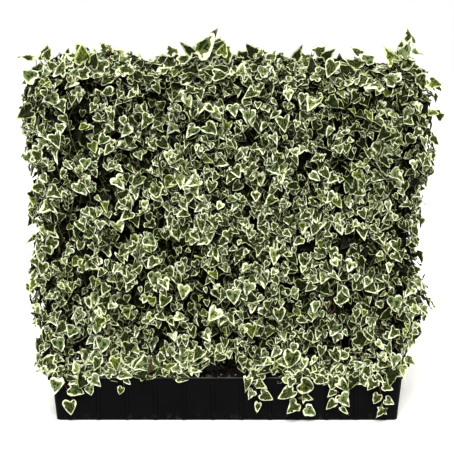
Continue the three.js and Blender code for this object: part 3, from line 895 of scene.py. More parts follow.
@dataclass(frozen=True)
class LeafFinish:
    """Ivy leaves: dark marbled cores, grey-green halos and ragged cream margins on top, pale undersides, and
    stalks from green to reddish. The tints follow the atlas columns: six tones, then two undersides. The
    sixth tone is near black all over, painted shade that stands for the dark gaps deep in the hedge."""

    tints: tuple[LeafTint, ...] = (
        LeafTint((25, 42, 5), (104, 113, 65), (220, 223, 198), 0.075, 0.058),
        LeafTint((17, 27, 1), (50, 60, 18), (181, 187, 148), 0.048, 0.03),
        LeafTint((34, 57, 20), (128, 138, 96), (223, 227, 208), 0.081, 0.082),
        LeafTint((52, 67, 14), (116, 126, 64), (208, 213, 168), 0.085, 0.06),
        LeafTint((53, 70, 22), (156, 162, 112), (224, 228, 202), 0.125, 0.07),
        # painted shade: the near-black sixth tone, whose margin is darkened too
        LeafTint((7, 9, 1), (18, 21, 2), (70, 74, 27), 0.028, 0.02),
        LeafTint((60, 68, 28), (88, 97, 52), (156, 162, 114), 0.070, 0.05),
        LeafTint((45, 52, 18), (70, 77, 34), (130, 134, 86), 0.060, 0.04),
    )
    stalk_green: Colour = (120, 124, 66)
    stalk_red: Colour = (104, 62, 44)

    def by_column(self, sheet: NodeSheet, key: Value, colours: Sequence[Sequence[float]]) -> Value:
        """The colour that belongs to the atlas column that a place is in."""
        return sheet.ramp(key, [(i / ATLAS_CELLS, colour) for i, colour in enumerate(colours)], True)

    def material(self) -> bpy.types.Material:
        """Mixes the leaf material, whose pattern depends on the place in the atlas alone."""
        paint = Paint("variegated_ivy", Specular_IOR_Level=0.16)
        sheet = paint.sheet
        atlas = sheet.value(sheet.node("ShaderNodeUVMap", {"uv_map": ATLAS_MAP}))
        u, v, _ = sheet.split(atlas)
        column = (u * ATLAS_CELLS).floor()
        row = (v * ATLAS_CELLS).floor()
        inside_u = (u * ATLAS_CELLS).rest()
        inside_v = (v * ATLAS_CELLS).rest()
        key = column / ATLAS_CELLS + 0.5 / ATLAS_CELLS
        x = (inside_u - 0.5) / CELL_SCALE
        y = (inside_v - CELL_BASE) / CELL_SCALE
        spot = sheet.joined(x + column * 7.31, y + row * 5.17, column * 1.7 + row * 0.9)
        patches = sheet.noise(spot, 3.4, 3.0, 0.6)
        mottle = sheet.noise(spot, 8.0, 2.0, 0.6)
        depths = self.by_column(sheet, key, [(4 * tint.depth, 4 * tint.halo, 0, 1) for tint in self.tints])
        margin_depth, halo_depth, _ = sheet.split(depths)
        depth = sheet.attribute(MARGIN) + (mottle - 0.5) * 0.035
        ragged = margin_depth * 0.25 * (sheet.noise(spot, 2.9, 2.0, 0.6) * 5.0 - 1.5).most(0.35)
        halo = ragged + halo_depth * 0.25 * (patches * 6.0 - 2.0).most(0.15)
        core = self.by_column(sheet, key, [rgba(tint.core) for tint in self.tints])
        pale = self.by_column(sheet, key, [rgba(tint.pale) for tint in self.tints])
        cream = self.by_column(sheet, key, [rgba(tint.margin) for tint in self.tints])
        marbled = sheet.mix((mottle + patches * 0.5).step(0.74, 0.84, 0.0, 0.9), core, pale)
        rib = self.ribs(x, y)
        centre = sheet.mix(rib * 0.55, marbled, pale)
        centre = sheet.mix(1 - (depth - halo).step(-0.006, 0.012), centre, pale)
        edge = (1 - (depth - ragged).step(-0.006, 0.010)) * (1 - rib * 0.25)
        blade = sheet.mix(edge * (0.80 + patches * 0.35).clamped(), centre, cream)
        veil = sheet.ramp(sheet.noise(spot, 1.2, 1.0), [(0.3, (0.60, 0.61, 0.42, 1)), (0.62, (1, 1, 1, 1))])
        blade = sheet.mix(0.55, blade, veil, "MULTIPLY")
        stalk = (1 - inside_u.step(0.12, 0.13)) * inside_v.step(0.74, 0.75)
        runner = inside_u.step(0.84, 0.85) * inside_v.step(0.74, 0.75)
        redness = (sheet.noise(spot, 4.0) + (column - 3) * 0.06).step(0.35, 0.65)
        woody = sheet.mix(redness, rgba(self.stalk_green), rgba(self.stalk_red))
        paint.feed("Base Color", sheet.mix((stalk + runner).clamped(), blade, woody))
        paint.feed("Roughness", 0.46 + mottle * 0.18 + edge * 0.06)
        paint.relief(mottle * 0.5 + patches * 0.4 - rib * 0.7, 0.5, 0.0015)
        return paint.material

    def ribs(self, x: Value, y: Value) -> Value:
        """Mask of the midrib and the two pairs of side ribs that fan out from the stalk."""
        across = abs(x)
        mask = 1 - across.step(0.010, 0.030)
        for degrees in (36, 76):
            turn = math.radians(degrees)
            off = abs(across * math.cos(turn) - y * math.sin(turn))
            along = across * math.sin(turn) + y * math.cos(turn)
            line = (1 - off.step(0.008, 0.026)) * along.step(0.0, 0.03)
            mask = mask.most(line * (1 - along.step(0.34, 0.5)))
        return mask * (y + 0.6).step(0.5, 0.64)


@dataclass(frozen=True)
class LeafLayer:
    """A depth of leaves in the hedge: how dense, how far in from its face, how large, how much they tumble,
    how full the thinnest places between its tufts are, and how low it starts."""

    name: str
    density: float
    inner: float
    outer: float
    smallest: float
    largest: float
    tumble: float
    thinnest: float
    lowest: float

    def sizes(self) -> dict[str, float]:
        """Its numbers by name."""
        return {item.name: float(getattr(self, item.name)) for item in fields(self) if item.name != "name"}


@dataclass
class HedgeCover:
    """The leaves of the nine plants and the two ends, scattered over the hedge's own faces."""

    kits: dict[str, LeafKit]
    finish: bpy.types.Material
    plants: int = 9
    leaf_length: float = 0.036
    closest: float = 0.0085
    crowding: float = 1.4
    fullest: float = 0.72
    crown_growth: float = 0.22
    crown_round: float = 0.10
    half_depth_low: float = 0.080
    half_depth_high: float = 0.088
    columns_a_plant: int = 3
    end_steps: int = 6
    levels: int = 14
    seed: int = 11
    layers: tuple[LeafLayer, ...] = (
        LeafLayer("outer", 5200, -0.020, 0.008, 0.50, 1.22, 0.65, 0.16, 0.10),
        LeafLayer("middle", 2400, -0.046, -0.018, 0.60, 1.20, 0.75, 0.50, 0.15),
        LeafLayer("inner", 2600, -0.076, -0.050, 1.10, 1.80, 0.55, 1.0, 0.18),
    )
    left_reach: tuple[tuple[float, float], ...] = (
        (0.14, 0.545), (0.26, 0.545), (0.31, 0.557), (0.40, 0.570), (0.47, 0.560), (0.54, 0.537),
        (0.61, 0.575), (0.66, 0.548), (0.73, 0.566), (0.82, 0.572), (0.87, 0.600), (0.91, 0.556),
        (0.96, 0.560), (1.0, 0.545),
    )
    right_reach: tuple[tuple[float, float], ...] = (
        (0.14, 0.505), (0.21, 0.530), (0.26, 0.552), (0.31, 0.590), (0.40, 0.575), (0.47, 0.527),
        (0.54, 0.548), (0.61, 0.552), (0.66, 0.558), (0.73, 0.588), (0.82, 0.572), (0.87, 0.590),
        (0.96, 0.575), (1.0, 0.545),
    )
    top_line: tuple[tuple[float, float], ...] = (
        (-0.60, 0.970), (-0.56, 0.992), (-0.52, 1.018), (-0.42, 1.040), (-0.35, 1.032), (-0.30, 1.038),
        (-0.22, 1.012), (-0.16, 1.020), (-0.10, 1.032), (-0.02, 1.030), (0.08, 1.030), (0.15, 1.026),
        (0.20, 1.014), (0.30, 1.018), (0.36, 1.000), (0.44, 1.002), (0.50, 1.026), (0.54, 1.012),
        (0.60, 0.970),
    )
    hem_line: tuple[tuple[float, float], ...] = (
        (-0.6, 0.120), (-0.34, 0.122), (-0.28, 0.132), (-0.14, 0.130), (-0.08, 0.142), (-0.05, 0.185),
        (0.02, 0.180), (0.05, 0.136), (0.16, 0.126), (0.44, 0.120), (0.53, 0.146), (0.6, 0.150),
    )
    plain_hem: float = 0.146
    skirt: float = 0.030
    pitch: float = field(init=False)
    flank: float = field(init=False)

    def __post_init__(self) -> None:
        """Takes the width of a plant's column from the CAD leaf masses."""
        low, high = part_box("leaf_mass_5")
        self.pitch = high.x - low.x
        self.flank = self.pitch * self.plants / 2

    def half_depth(self, z: float, front: float) -> float:
        """Finds how far the hedge's faces stand from its middle.

        Args:
            z: the height.
            front: 1 in front and 0 behind, which brings in the skirt that clears the rim.

        Returns:
            The distance.
        """
        body = lerp(self.half_depth_low, self.half_depth_high, smooth(z, 0.13, 0.38))
        return body + self.skirt * front * (1 - smooth(z, 0.130, 0.190))

    def surface_point(self, place: float, side: str, level: float) -> Vector:
        """A point of the hedge's face.

        Args:
            place: x on the front and back, or the angle from the front on an end.
            side: front, back, left or right.
            level: 0 at the hem, 1 where the crown starts to round, 2 at its top.

        Returns:
            The point, moved in or out by the hedge's lumps.
        """
        if side in ("front", "back"):
            x = place
        else:
            x = (1 if side == "right" else -1) * (self.flank + 0.06 * math.cos(place))
        top = along_table(self.top_line, x)
        hem = along_table(self.hem_line, x) if side == "front" else self.plain_hem
        rounded = self.crown_round * (1 - 0.45 * smooth(abs(x), 0.44, 0.56))
        shoulder = top - rounded
        z = lerp(hem, shoulder, min(level, 1.0))
        turn = max(0.0, level - 1.0) * math.radians(84)
        rounding = math.cos(turn)
        z_out = z + rounded * math.sin(turn)
        if side in ("front", "back"):
            sign = -1 if side == "front" else 1
            point = Vector((x, sign * self.half_depth(z, 0.5 - 0.5 * sign) * rounding, z_out))
            normal = Vector((0, sign * rounding, math.sin(turn)))
        else:
            sign = 1 if side == "right" else -1
            reach = along_table(self.right_reach if sign > 0 else self.left_reach, z_out) - self.flank
            out = max(0.0, math.cos(place)) ** 0.8
            across = math.copysign(abs(math.sin(place)) ** 0.85, math.sin(place))
            depth = self.half_depth(z, 0.5 - 0.5 * across)
            point = Vector((sign * (self.flank + reach * out * rounding), depth * across * rounding, z_out))
            normal = Vector((sign * out * rounding, across * rounding, math.sin(turn)))
        lump = noise.noise(point * 7.0) * 0.6 + noise.noise(point * 17.0) * 0.4
        return point + normal.normalized() * 0.016 * lump

    def ring(self, level: float) -> list[Vector]:
        """Goes round the hedge.

        Args:
            level: as for surface_point.

        Returns:
            The outline, anticlockwise seen from above, from the front left corner.
        """
        count = self.plants * self.columns_a_plant
        run = [lerp(-self.flank, self.flank, i / count) for i in range(count + 1)]
        angles = [lerp(-math.pi / 2, math.pi / 2, i / self.end_steps) for i in range(1, self.end_steps)]
        front = [self.surface_point(x, "front", level) for x in run]
        right = [self.surface_point(a, "right", level) for a in angles]
        back = [self.surface_point(x, "back", level) for x in reversed(run)]
        left = [self.surface_point(-a, "left", level) for a in angles]
        return front + right + back + left

    def owner(self, segment: int) -> str:
        """Finds the leaf mass that a stretch of the ring belongs to.

        Args:
            segment: the stretch's place round the ring.

        Returns:
            The last part of the leaf mass's name.
        """
        count = self.plants * self.columns_a_plant
        if segment < count:
            return str(segment // self.columns_a_plant + 1)
        if segment < count + self.end_steps:
            return "right_end"
        if segment < 2 * count + self.end_steps:
            return str(self.plants - (segment - count - self.end_steps) // self.columns_a_plant)
        return "left_end"

    def faces(self) -> dict[str, list[list[Vector]]]:
        """The quads of the hedge's faces for each leaf mass, anticlockwise seen from outside."""
        steps = [i / self.levels for i in range(self.levels + 1)] + [1.3, 1.6, 1.85, 2.0]
        rings = [self.ring(level) for level in steps]
        around = len(rings[0])
        count = self.plants * self.columns_a_plant
        quads: dict[str, list[list[Vector]]] = {}
        for lower, upper in zip(rings, rings[1:]):
            for i in range(around):
                j = (i + 1) % around
                quads.setdefault(self.owner(i), []).append([lower[i], lower[j], upper[j], upper[i]])
        top = rings[-1]
        for i in range(count):
            back = count + self.end_steps + count - i
            quads[self.owner(i)].append([top[i], top[i + 1], top[back - 1], top[back]])
        return quads

    def sheet(self) -> GrowthSheet:
        """Writes the tree that scatters leaves over a face, with inputs of its own for each layer.

        Returns:
            The tree.
        """
        tree = GrowthSheet("leaf_scatter")
        seed = tree.dial("Seed", "Int")
        material = tree.dial("Material", "Material")
        length = tree.dial("Leaf length", "Float")
        parts = []
        for layer in self.layers:
            density, inner, outer, smallest, largest, tumble, thinnest, lowest = (
                tree.dial(f"{layer.name} {size}", "Float") for size in layer.sizes()
            )
            kit = tree.dial(f"{layer.name} kit", "Collection")
            kinds = tree.dial(f"{layer.name} kinds", "Int")
            place = tree.value(tree.node("GeometryNodeInputPosition"))
            slope = tree.split(tree.value(tree.node("GeometryNodeInputNormal")))[2]
            tufts = tree.noise(place, 13.0, 1.0).step(0.40, 0.54, thinnest * self.fullest, self.fullest)
            tufts = tufts.most(slope.step(0.15, 0.5)) * (tree.split(place)[2] > lowest)
            tree.seeds += 1
            scatter = tree.node("GeometryNodeDistributePointsOnFaces", {"distribute_method": "POISSON"}, {
                "Mesh": tree.geometry(), "Distance Min": self.closest, "Density Max": density * self.crowding,
                "Density Factor": tufts, "Seed": seed + tree.seeds,
            })
            normal = tree.value(scatter, "Normal")
            depth = tree.chance(seed, inner, outer)
            moved = tree.moved(tree.value(scatter, "Points"), tree.vector("SCALE", normal, depth))
            crown = tree.split(normal)[2].step(0.15, 0.6)
            outer_side = crown.most(abs(tree.split(normal)[0]).step(0.3, 0.8))
            outward = tree.vector("SCALE", tree.vector("MULTIPLY", place, (0.4, 11.0, 0.0)), outer_side)
            loose = tree.total(tree.vector("SCALE", tree.jitter(seed), tumble), outward)
            facing = tree.total(tree.vector("SCALE", normal, 0.85), (0.0, 0.0, 0.42), loose)
            level = tree.turned(None, "Z", facing)
            stray = tree.vector("MULTIPLY", tree.jitter(seed), (1.15, 1.15, 0.6))
            hang = tree.total(stray, tree.joined(0.0, 0.0, crown * 1.7 - 1.0))
            hung = tree.turned(level, "Y", tree.total(tree.vector("SCALE", normal, 0.40), hang), "Z")
            pick = tree.chance(seed, 0, kinds, "INT")
            share = tree.chance(seed, 0.0, 1.0)
            size = length * (smallest + (largest - smallest) * share * share)
            size = size * (1 + crown * self.crown_growth)
            placing = {"Instance Index": pick, "Rotation": hung, "Scale": size}
            parts.append(tree.planted(moved, kit, placing))
        tree.finish(parts, material)
        return tree

    def build(self) -> None:
        """Grows each leaf mass on its own part of the hedge's faces."""
        tree = self.sheet()
        for index, (owner, quads) in enumerate(sorted(self.faces().items())):
            points = [point for quad in quads for point in quad]
            corners = [tuple(range(4 * i, 4 * i + 4)) for i in range(len(quads))]
            piece = new_piece(f"leaf_cover_{owner}", points, corners)
            settings: dict = {
                "Seed": self.seed + 100 * index, "Material": self.finish, "Leaf length": self.leaf_length,
            }
            for layer in self.layers:
                kit = self.kits[layer.name]
                settings.update({f"{layer.name} {size}": number for size, number in layer.sizes().items()})
                settings.update({f"{layer.name} kit": kit.collection, f"{layer.name} kinds": kit.count - 1})
            tree.grow(piece, settings)
            settle(piece, [f"leaf_mass_{owner}"])


@dataclass
class Sprays:
    """Shoots with leaves on both sides: a thin stem along a path, and leaves that alternate along it."""

    kit: LeafKit
    finish: bpy.types.Material
    sides: int = 6
    seed: int = 400
    tree: GrowthSheet = field(init=False)

    def __post_init__(self) -> None:
        """Writes the tree, with the shoots' spacing, leaf size, bareness and facing as its inputs."""
        tree = GrowthSheet("leafy_shoot")
        seed = tree.dial("Seed", "Int")
        material = tree.dial("Material", "Material")
        sides = tree.dial("Sides", "Int")
        kit = tree.dial("Kit", "Collection")
        kinds = tree.dial("Kinds", "Int")
        spacing = tree.dial("Spacing", "Float")
        length = tree.dial("Leaf length", "Float")
        bare = tree.dial("Bare share", "Float")
        facing = tree.dial("Facing", "Vector")
        hang = tree.dial("Hang", "Float")
        curve = tree.lines()
        stem = self._stem(tree, curve, sides)
        kept, far = tree.captured(curve, tree.value(tree.node("GeometryNodeSplineParameter"), "Factor"))
        row = tree.node("GeometryNodeCurveToPoints", {"mode": "LENGTH"}, {"Curve": kept, "Length": spacing})
        order = tree.value(tree.node("GeometryNodeInputIndex"))
        hand = 1 - (order * 0.5).rest() * 4
        along = tree.value(row, "Tangent")
        across = tree.vector("SCALE", tree.vector("CROSS_PRODUCT", along, facing), hand)
        size = length * tree.chance(seed, 0.72, 1.18)
        out = tree.total(tree.vector("SCALE", facing, size * 0.13), tree.vector("SCALE", across, size * 0.28))
        loose = tree.total(facing, tree.vector("SCALE", tree.jitter(seed), 0.30))
        level = tree.turned(None, "Z", tree.total(loose, (0.0, 0.0, 0.25)))
        reach = tree.total(tree.vector("SCALE", along, hang), tree.vector("SCALE", across, 0.8))
        stray = tree.vector("SCALE", tree.jitter(seed), 0.35)
        leaves = tree.planted(tree.moved(tree.value(row, "Points"), out), kit, {
            "Selection": far > bare, "Rotation": tree.turned(level, "Y", tree.total(reach, stray), "Z"),
            "Instance Index": ((order * GOLDEN_PART + seed * 0.37).rest() * kinds).floor(), "Scale": size,
        })
        tree.finish([stem, leaves], material)
        self.tree = tree

    @staticmethod
    def _stem(tree: GrowthSheet, curve: Value, sides: Value) -> Value:
        """The stem's tube, painted from the corner of the leaf atlas that is kept for stems."""
        share = tree.value(tree.node("GeometryNodeSplineParameter"), "Factor")
        kept, along = tree.captured(curve, share)
        ring, around = tree.captured(tree.circle(sides), share)
        u = (around * 0.10 + 4.87) / ATLAS_CELLS
        v = (along * 0.19 + 3.77) / ATLAS_CELLS
        sockets = {"Geometry": tree.tube(kept, ring), "Name": ATLAS_MAP, "Value": tree.joined(u, v)}
        settings = {"data_type": "FLOAT2", "domain": "CORNER"}
        return tree.value(tree.node("GeometryNodeStoreNamedAttribute", settings, sockets))

    def grow(self, piece: bpy.types.Object, seed: int, spacing: float, leaf: float, bare: float,
             facing: Triple, hang: float) -> bpy.types.Object:
        """Grows leafy shoots along a piece's lines.

        Args:
            piece: an object of lines with girths.
            seed: which leaves it gets.
            spacing: between one leaf and the next along the shoot.
            leaf: the usual length of a leaf.
            bare: the share of the shoot's length that has no leaves.
            facing: the way that the leaves' upper sides look.
            hang: how far the leaves point along the shoot rather than out of it.

        Returns:
            The same object.
        """
        settings = {
            "Seed": self.seed + seed, "Material": self.finish, "Sides": self.sides,
            "Kit": self.kit.collection, "Kinds": self.kit.count - 1, "Spacing": spacing,
            "Leaf length": leaf, "Bare share": bare, "Facing": facing, "Hang": hang,
        }
        return self.tree.grow(piece, settings)


@dataclass(frozen=True)
class Shoot:
    """A shoot that hangs over the rim: its place in plant columns, how far down it hangs as a share of the
    trough's height, how far it sways aside, and the spacing and size of its leaves."""

    place: float
    hang: float
    sway: float
    spacing: float = 0.018
    leaf: float = 0.038


@dataclass
class TrailingShoots:
    """The shoots that root at the trough's edge and hang down outside it, seven in front and three behind."""

    sprays: Sprays
    pitch: float
    rim_half_depth: float = 0.104
    rim_height: float = 0.128
    soil_top: float = 0.113
    lip: float = 0.006
    clearance: float = 0.005
    radius: float = 0.0014
    front: tuple[Shoot, ...] = (
        Shoot(-4.36, 0.72, 0.034, 0.030, 0.044), Shoot(-3.62, 0.40, -0.006, 0.014, 0.034),
        Shoot(-2.74, 0.44, 0.004, 0.022, 0.026), Shoot(0.62, 0.76, 0.030, 0.017, 0.036),
        Shoot(1.78, 0.92, 0.022, 0.017, 0.042), Shoot(2.86, 0.90, 0.008),
        Shoot(3.92, 0.88, 0.030, 0.020, 0.038),
    )
    back: tuple[Shoot, ...] = (Shoot(-2.9, 0.62, -0.016), Shoot(0.4, 0.9, 0.020), Shoot(3.2, 0.5, 0.010))

    def route(self, shoot: Shoot, side: int) -> list[Vector]:
        """Leads a shoot from the soil over the rim and down outside.

        Args:
            shoot: the shoot.
            side: -1 in front and 1 behind.

        Returns:
            The points that it goes through.
        """
        x = shoot.place * self.pitch
        rim = self.rim_half_depth
        end = self.rim_height * (1 - shoot.hang) + 0.030
        outside = rim + self.clearance
        rise = self.rim_height + self.clearance
        under_lip = self.rim_height - self.lip
        knots = [
            (0.0, rim - 0.040, self.soil_top - 0.020), (0.0, rim - 0.036, self.soil_top + 0.006),
            (0.0, rim - 0.016, rise + 0.001), (0.0, outside - 0.002, rise),
            (0.15, outside + 0.002, under_lip), (0.55, outside + 0.003, lerp(end, under_lip, 0.45)),
            (1.0, outside + 0.002, end),
        ]
        return [Vector((x + part * shoot.sway, side * out, z)) for part, out, z in knots]

    def build(self) -> None:
        """Grows each shoot in the place of its CAD node."""
        for label, shoots, side in (("front", self.front, -1), ("back", self.back, 1)):
            for i, shoot in enumerate(shoots):
                path = smooth_path(self.route(shoot, side), 5)
                radii = taper(self.radius * 1.1, self.radius * 0.6, len(path))
                piece = new_lines(f"trailing_{label}_{i + 1}", [(path, radii)])
                facing = (0.0, float(side), 0.15)
                self.sprays.grow(piece, 10 * i + side, shoot.spacing, shoot.leaf, 0.30, facing, 0.9)
                settle(piece, [f"trailing_shoot_{label}_{i + 1}"])


@dataclass
class GrowingTips:
    """Young shoots that stand above the crown, each with its place in plant columns, lean and top."""

    sprays: Sprays
    pitch: float
    tips: tuple[tuple[float, float, float], ...] = (
        (-3.0, 0.000, 1.050), (0.0, -0.045, 1.068), (-0.5, 0.010, 1.050), (2.0, 0.020, 1.046),
        (4.0, 0.085, 1.066), (-3.7, 0.010, 1.046), (-1.4, 0.012, 1.040), (1.1, -0.010, 1.040),
        (3.5, 0.0, 1.038), (-4.6, -0.03, 1.036),
    )

    def build(self) -> None:
        """Grows the tips as one piece."""
        lines = []
        for place, lean, top in self.tips:
            foot = Vector((place * self.pitch + lean * 0.2, -0.03, 0.985))
            head = Vector((place * self.pitch + lean, -0.045, top))
            bend = foot.lerp(head, 0.55) + Vector((0.0, -0.006, 0.004))
            path = smooth_path([foot, bend, head], 5)
            lines.append((path, taper(0.0016, 0.0008, len(path))))
        piece = new_lines("growing_tips", lines)
        self.sprays.grow(piece, 70, 0.017, 0.043, 0.25, (0.0, -0.9, 0.3), 1.0)
        settle(piece, [])


@dataclass(frozen=True)
class LooseLeaf:
    """A leaf with a place of its own: where its stalk meets the blade, its length, how far its tip leans
    clockwise from straight up in degrees, its form and its tone."""

    place: Triple
    length: float
    lean: float
    form: LeafForm
    tone: LeafTone

    def turn(self) -> tuple[float, float, float]:
        """The leaf's rotation, with its upper side to the front."""
        angle = math.radians(self.lean)
        tip = Vector((math.sin(angle), -0.15, math.cos(angle))).normalized()
        face = Vector((0.3 * math.sin(3 * angle), -1.0, 0.25))
        face = (face - face.dot(tip) * tip).normalized()
        return tuple(Matrix((tip.cross(face), tip, face)).transposed().to_euler())


FEATURE_LEAVES = (
    LooseLeaf((-0.533, -0.070, 0.972), 0.052, -47, LeafForm.TRIANGLE, LeafTone.GREY),
    LooseLeaf((-0.550, -0.040, 0.883), 0.048, -110, LeafForm.HEART, LeafTone.DEEP),
    LooseLeaf((-0.504, -0.070, 1.031), 0.034, 33, LeafForm.HEART, LeafTone.MARBLED),
    LooseLeaf((-0.397, -0.080, 1.022), 0.050, -12, LeafForm.BROAD, LeafTone.LIME),
    LooseLeaf((-0.374, -0.085, 1.009), 0.042, 22, LeafForm.HEART, LeafTone.DEEP),
    LooseLeaf((-0.080, -0.075, 1.044), 0.080, 39, LeafForm.LANCE, LeafTone.MARBLED),
    LooseLeaf((-0.096, -0.080, 1.044), 0.044, -45, LeafForm.LANCE, LeafTone.DEEP),
    LooseLeaf((-0.014, -0.080, 1.040), 0.034, 22, LeafForm.HEART, LeafTone.LIME),
    LooseLeaf((0.075, -0.080, 1.040), 0.038, -42, LeafForm.SHIELD, LeafTone.DEEP),
    LooseLeaf((0.187, -0.080, 1.028), 0.042, 32, LeafForm.LANCE, LeafTone.DEEP),
    LooseLeaf((0.265, -0.080, 1.030), 0.042, 48, LeafForm.TRIANGLE, LeafTone.DEEP),
    LooseLeaf((0.294, -0.100, 1.020), 0.048, -149, LeafForm.HEART, LeafTone.MARBLED),
    LooseLeaf((0.482, -0.070, 1.036), 0.056, 35, LeafForm.BIRDFOOT, LeafTone.GREY),
    LooseLeaf((0.460, -0.070, 1.026), 0.044, -33, LeafForm.ARROW, LeafTone.LIME),
    LooseLeaf((0.570, -0.040, 0.964), 0.034, 102, LeafForm.HEART, LeafTone.LIME),
    LooseLeaf((0.567, -0.040, 0.880), 0.034, 95, LeafForm.LANCE, LeafTone.LIME),
    LooseLeaf((0.472, -0.118, 0.157), 0.050, -167, LeafForm.BIRDFOOT, LeafTone.DEEP),
    LooseLeaf((0.361, -0.118, 0.134), 0.040, -164, LeafForm.SHIELD, LeafTone.DEEP),
    LooseLeaf((0.187, -0.116, 0.206), 0.050, -170, LeafForm.BROAD, LeafTone.MARBLED),
    LooseLeaf((-0.366, -0.116, 0.188), 0.038, -165, LeafForm.HEART, LeafTone.MARBLED),
    LooseLeaf((-0.315, -0.116, 0.188), 0.038, -170, LeafForm.HEART, LeafTone.LIME),
)
DRY_LEAVES = (
    LooseLeaf((-0.219, -0.121, 0.186), 0.018, 160, LeafForm.LANCE, LeafTone.OLD),
    LooseLeaf((-0.211, -0.123, 0.170), 0.021, 215, LeafForm.YOUNG, LeafTone.OLD),
    LooseLeaf((-0.223, -0.121, 0.160), 0.016, 120, LeafForm.YOUNG, LeafTone.OLD),
    LooseLeaf((-0.060, -0.062, 0.122), 0.022, 80, LeafForm.LANCE, LeafTone.OLD),
    LooseLeaf((0.010, -0.070, 0.122), 0.018, 250, LeafForm.YOUNG, LeafTone.OLD),
)


@dataclass
class LooseLeaves:
    """Single leaves that stand out of the hedge, as one piece: large ones at its outline, or dry ones."""

    name: str
    leaves: tuple[LooseLeaf, ...]
    finish: bpy.types.Material
    slot: str
    seed: int = 77

    def tray(self) -> bpy.types.Collection:
        """One pattern for each leaf, in order."""
        tray = bpy.data.collections.new(self.name)
        chance = random.Random(self.seed)
        for i, leaf in enumerate(self.leaves):
            pattern = LeafPattern(leaf.form, leaf.tone, LeafCurl.pick(chance), UNDERSIDE_COLUMNS[i % 2])
            tray.objects.link(pattern.build(f"{self.name}_{i:03d}"))
        return tray

    def sheet(self) -> GrowthSheet:
        """The tree that puts each leaf of a tray on its own point."""
        tree = GrowthSheet(self.name)
        material = tree.dial("Material", "Material")
        kit = tree.dial("Kit", "Collection")
        placed = tree.planted(tree.geometry(), kit, {
            "Instance Index": tree.value(tree.node("GeometryNodeInputIndex")),
            "Rotation": tree.named("turn", "FLOAT_VECTOR"), "Scale": tree.named("size"),
        })
        tree.finish([placed], material)
        return tree

    def build(self) -> None:
        """Places the leaves."""
        piece = new_piece(self.name, [leaf.place for leaf in self.leaves], [])
        mark(piece.data, "turn", [angle for leaf in self.leaves for angle in leaf.turn()], "FLOAT_VECTOR")
        mark(piece.data, "size", [leaf.length for leaf in self.leaves])
        tray = self.tray()
        self.sheet().grow(piece, {"Material": self.finish, "Kit": tray})
        clear_tray(tray)
        settle(piece, [])


@dataclass
class ClimbingStems:
    """The nine plants' woody stems, their side branches, and thin runners out among the leaves."""

    pitch: float
    finish: bpy.types.Material
    plants: int = 9
    foot: float = 0.045
    top: float = 1.0
    thick: float = 0.0045
    thin: float = 0.00225
    front_face: float = -0.0066
    back_face: float = 0.0023
    wave: float = 0.012
    runners: int = 8
    seed: int = 21

    def radius(self, z: float) -> float:
        """Radius of a main stem at a height."""
        return lerp(self.thick, self.thin, min(1.0, max(0.0, (z - 0.113) / (self.top - 0.113))))

    def stem(self, plant: int) -> list[Vector]:
        """Leads a plant's main stem up the wires.

        Args:
            plant: the plant's place in the row.

        Returns:
            The stem's path.
        """
        knots = []
        for i in range(8):
            share = i / 7
            bow = self.wave * math.sin(1.6 * plant + 5.2 * share) * math.sin(math.pi * share)
            z = lerp(self.foot, self.top, share)
            r = self.radius(z)
            y = self.front_face - r if plant % 2 == 0 else self.back_face + r
            knots.append(Vector(((plant - 4) * self.pitch + bow, y, z)))
        return smooth_path(knots, 4)

    def branch(self, start: Vector, side: int) -> list[Vector]:
        """A side branch that arches up beside its stem."""
        bend = start + Vector((side * 0.045, 0.0, 0.030))
        return smooth_path([start, bend, start + Vector((side * 0.070, 0.0, 0.105))], 5)

    def runner(self, plant: int, chance: random.Random) -> list[Vector]:
        """Leads a thin shoot up between the stem and the face of the hedge.

        Args:
            plant: the plant's place in the row.
            chance: where its wandering comes from.

        Returns:
            The shoot's path.
        """
        side = chance.choice((-1, 1))
        x = (plant - 4) * self.pitch + chance.uniform(-0.05, 0.05)
        depth = chance.uniform(0.050, 0.088)
        low = chance.uniform(0.12, 0.60)
        high = min(0.96, low + chance.uniform(0.25, 0.5))
        knots = [Vector((x, side * 0.02, low - 0.006))]
        for i in range(1, 7):
            z = lerp(low, high, i / 6)
            aside = x + chance.uniform(-0.035, 0.035)
            out = side * (depth + chance.uniform(-0.02, 0.012))
            knots.append(Vector((aside, out, z)))
        return smooth_path(knots, 4)

    def build(self) -> None:
        """Grows all the wood as one piece that stands for the nine stems."""
        chance = random.Random(self.seed)
        lines = []
        for plant in range(self.plants):
            main = self.stem(plant)
            lines.append((main, [self.radius(point.z) for point in main]))
            for i, share in enumerate((0.2, 0.46, 0.7)):
                side = 1 if (plant + i) % 2 == 0 else -1
                path = self.branch(main[int(share * (len(main) - 1))], side)
                lines.append((path, taper(0.0019, 0.0010, len(path))))
            for _ in range(self.runners):
                path = self.runner(plant, chance)
                lines.append((path, taper(0.0017, 0.0009, len(path))))
        tree = GrowthSheet("woody_stem")
        material = tree.dial("Material", "Material")
        sides = tree.dial("Sides", "Int")
        knobbly = tree.dial("Knobbliness", "Float")
        normal = tree.value(tree.node("GeometryNodeInputNormal"))
        swell = (tree.noise(tree.value(tree.node("GeometryNodeInputPosition")), 130.0) - 0.5) * knobbly
        tube = tree.tube(tree.lines(), tree.circle(sides))
        tree.finish([tree.moved(tube, tree.vector("SCALE", normal, swell))], material)
        piece = new_lines("climbing_stems", lines)
        tree.grow(piece, {"Material": self.finish, "Sides": 7, "Knobbliness": 0.0010})
        settle(piece, [f"ivy_stem_{i + 1}" for i in range(self.plants)])


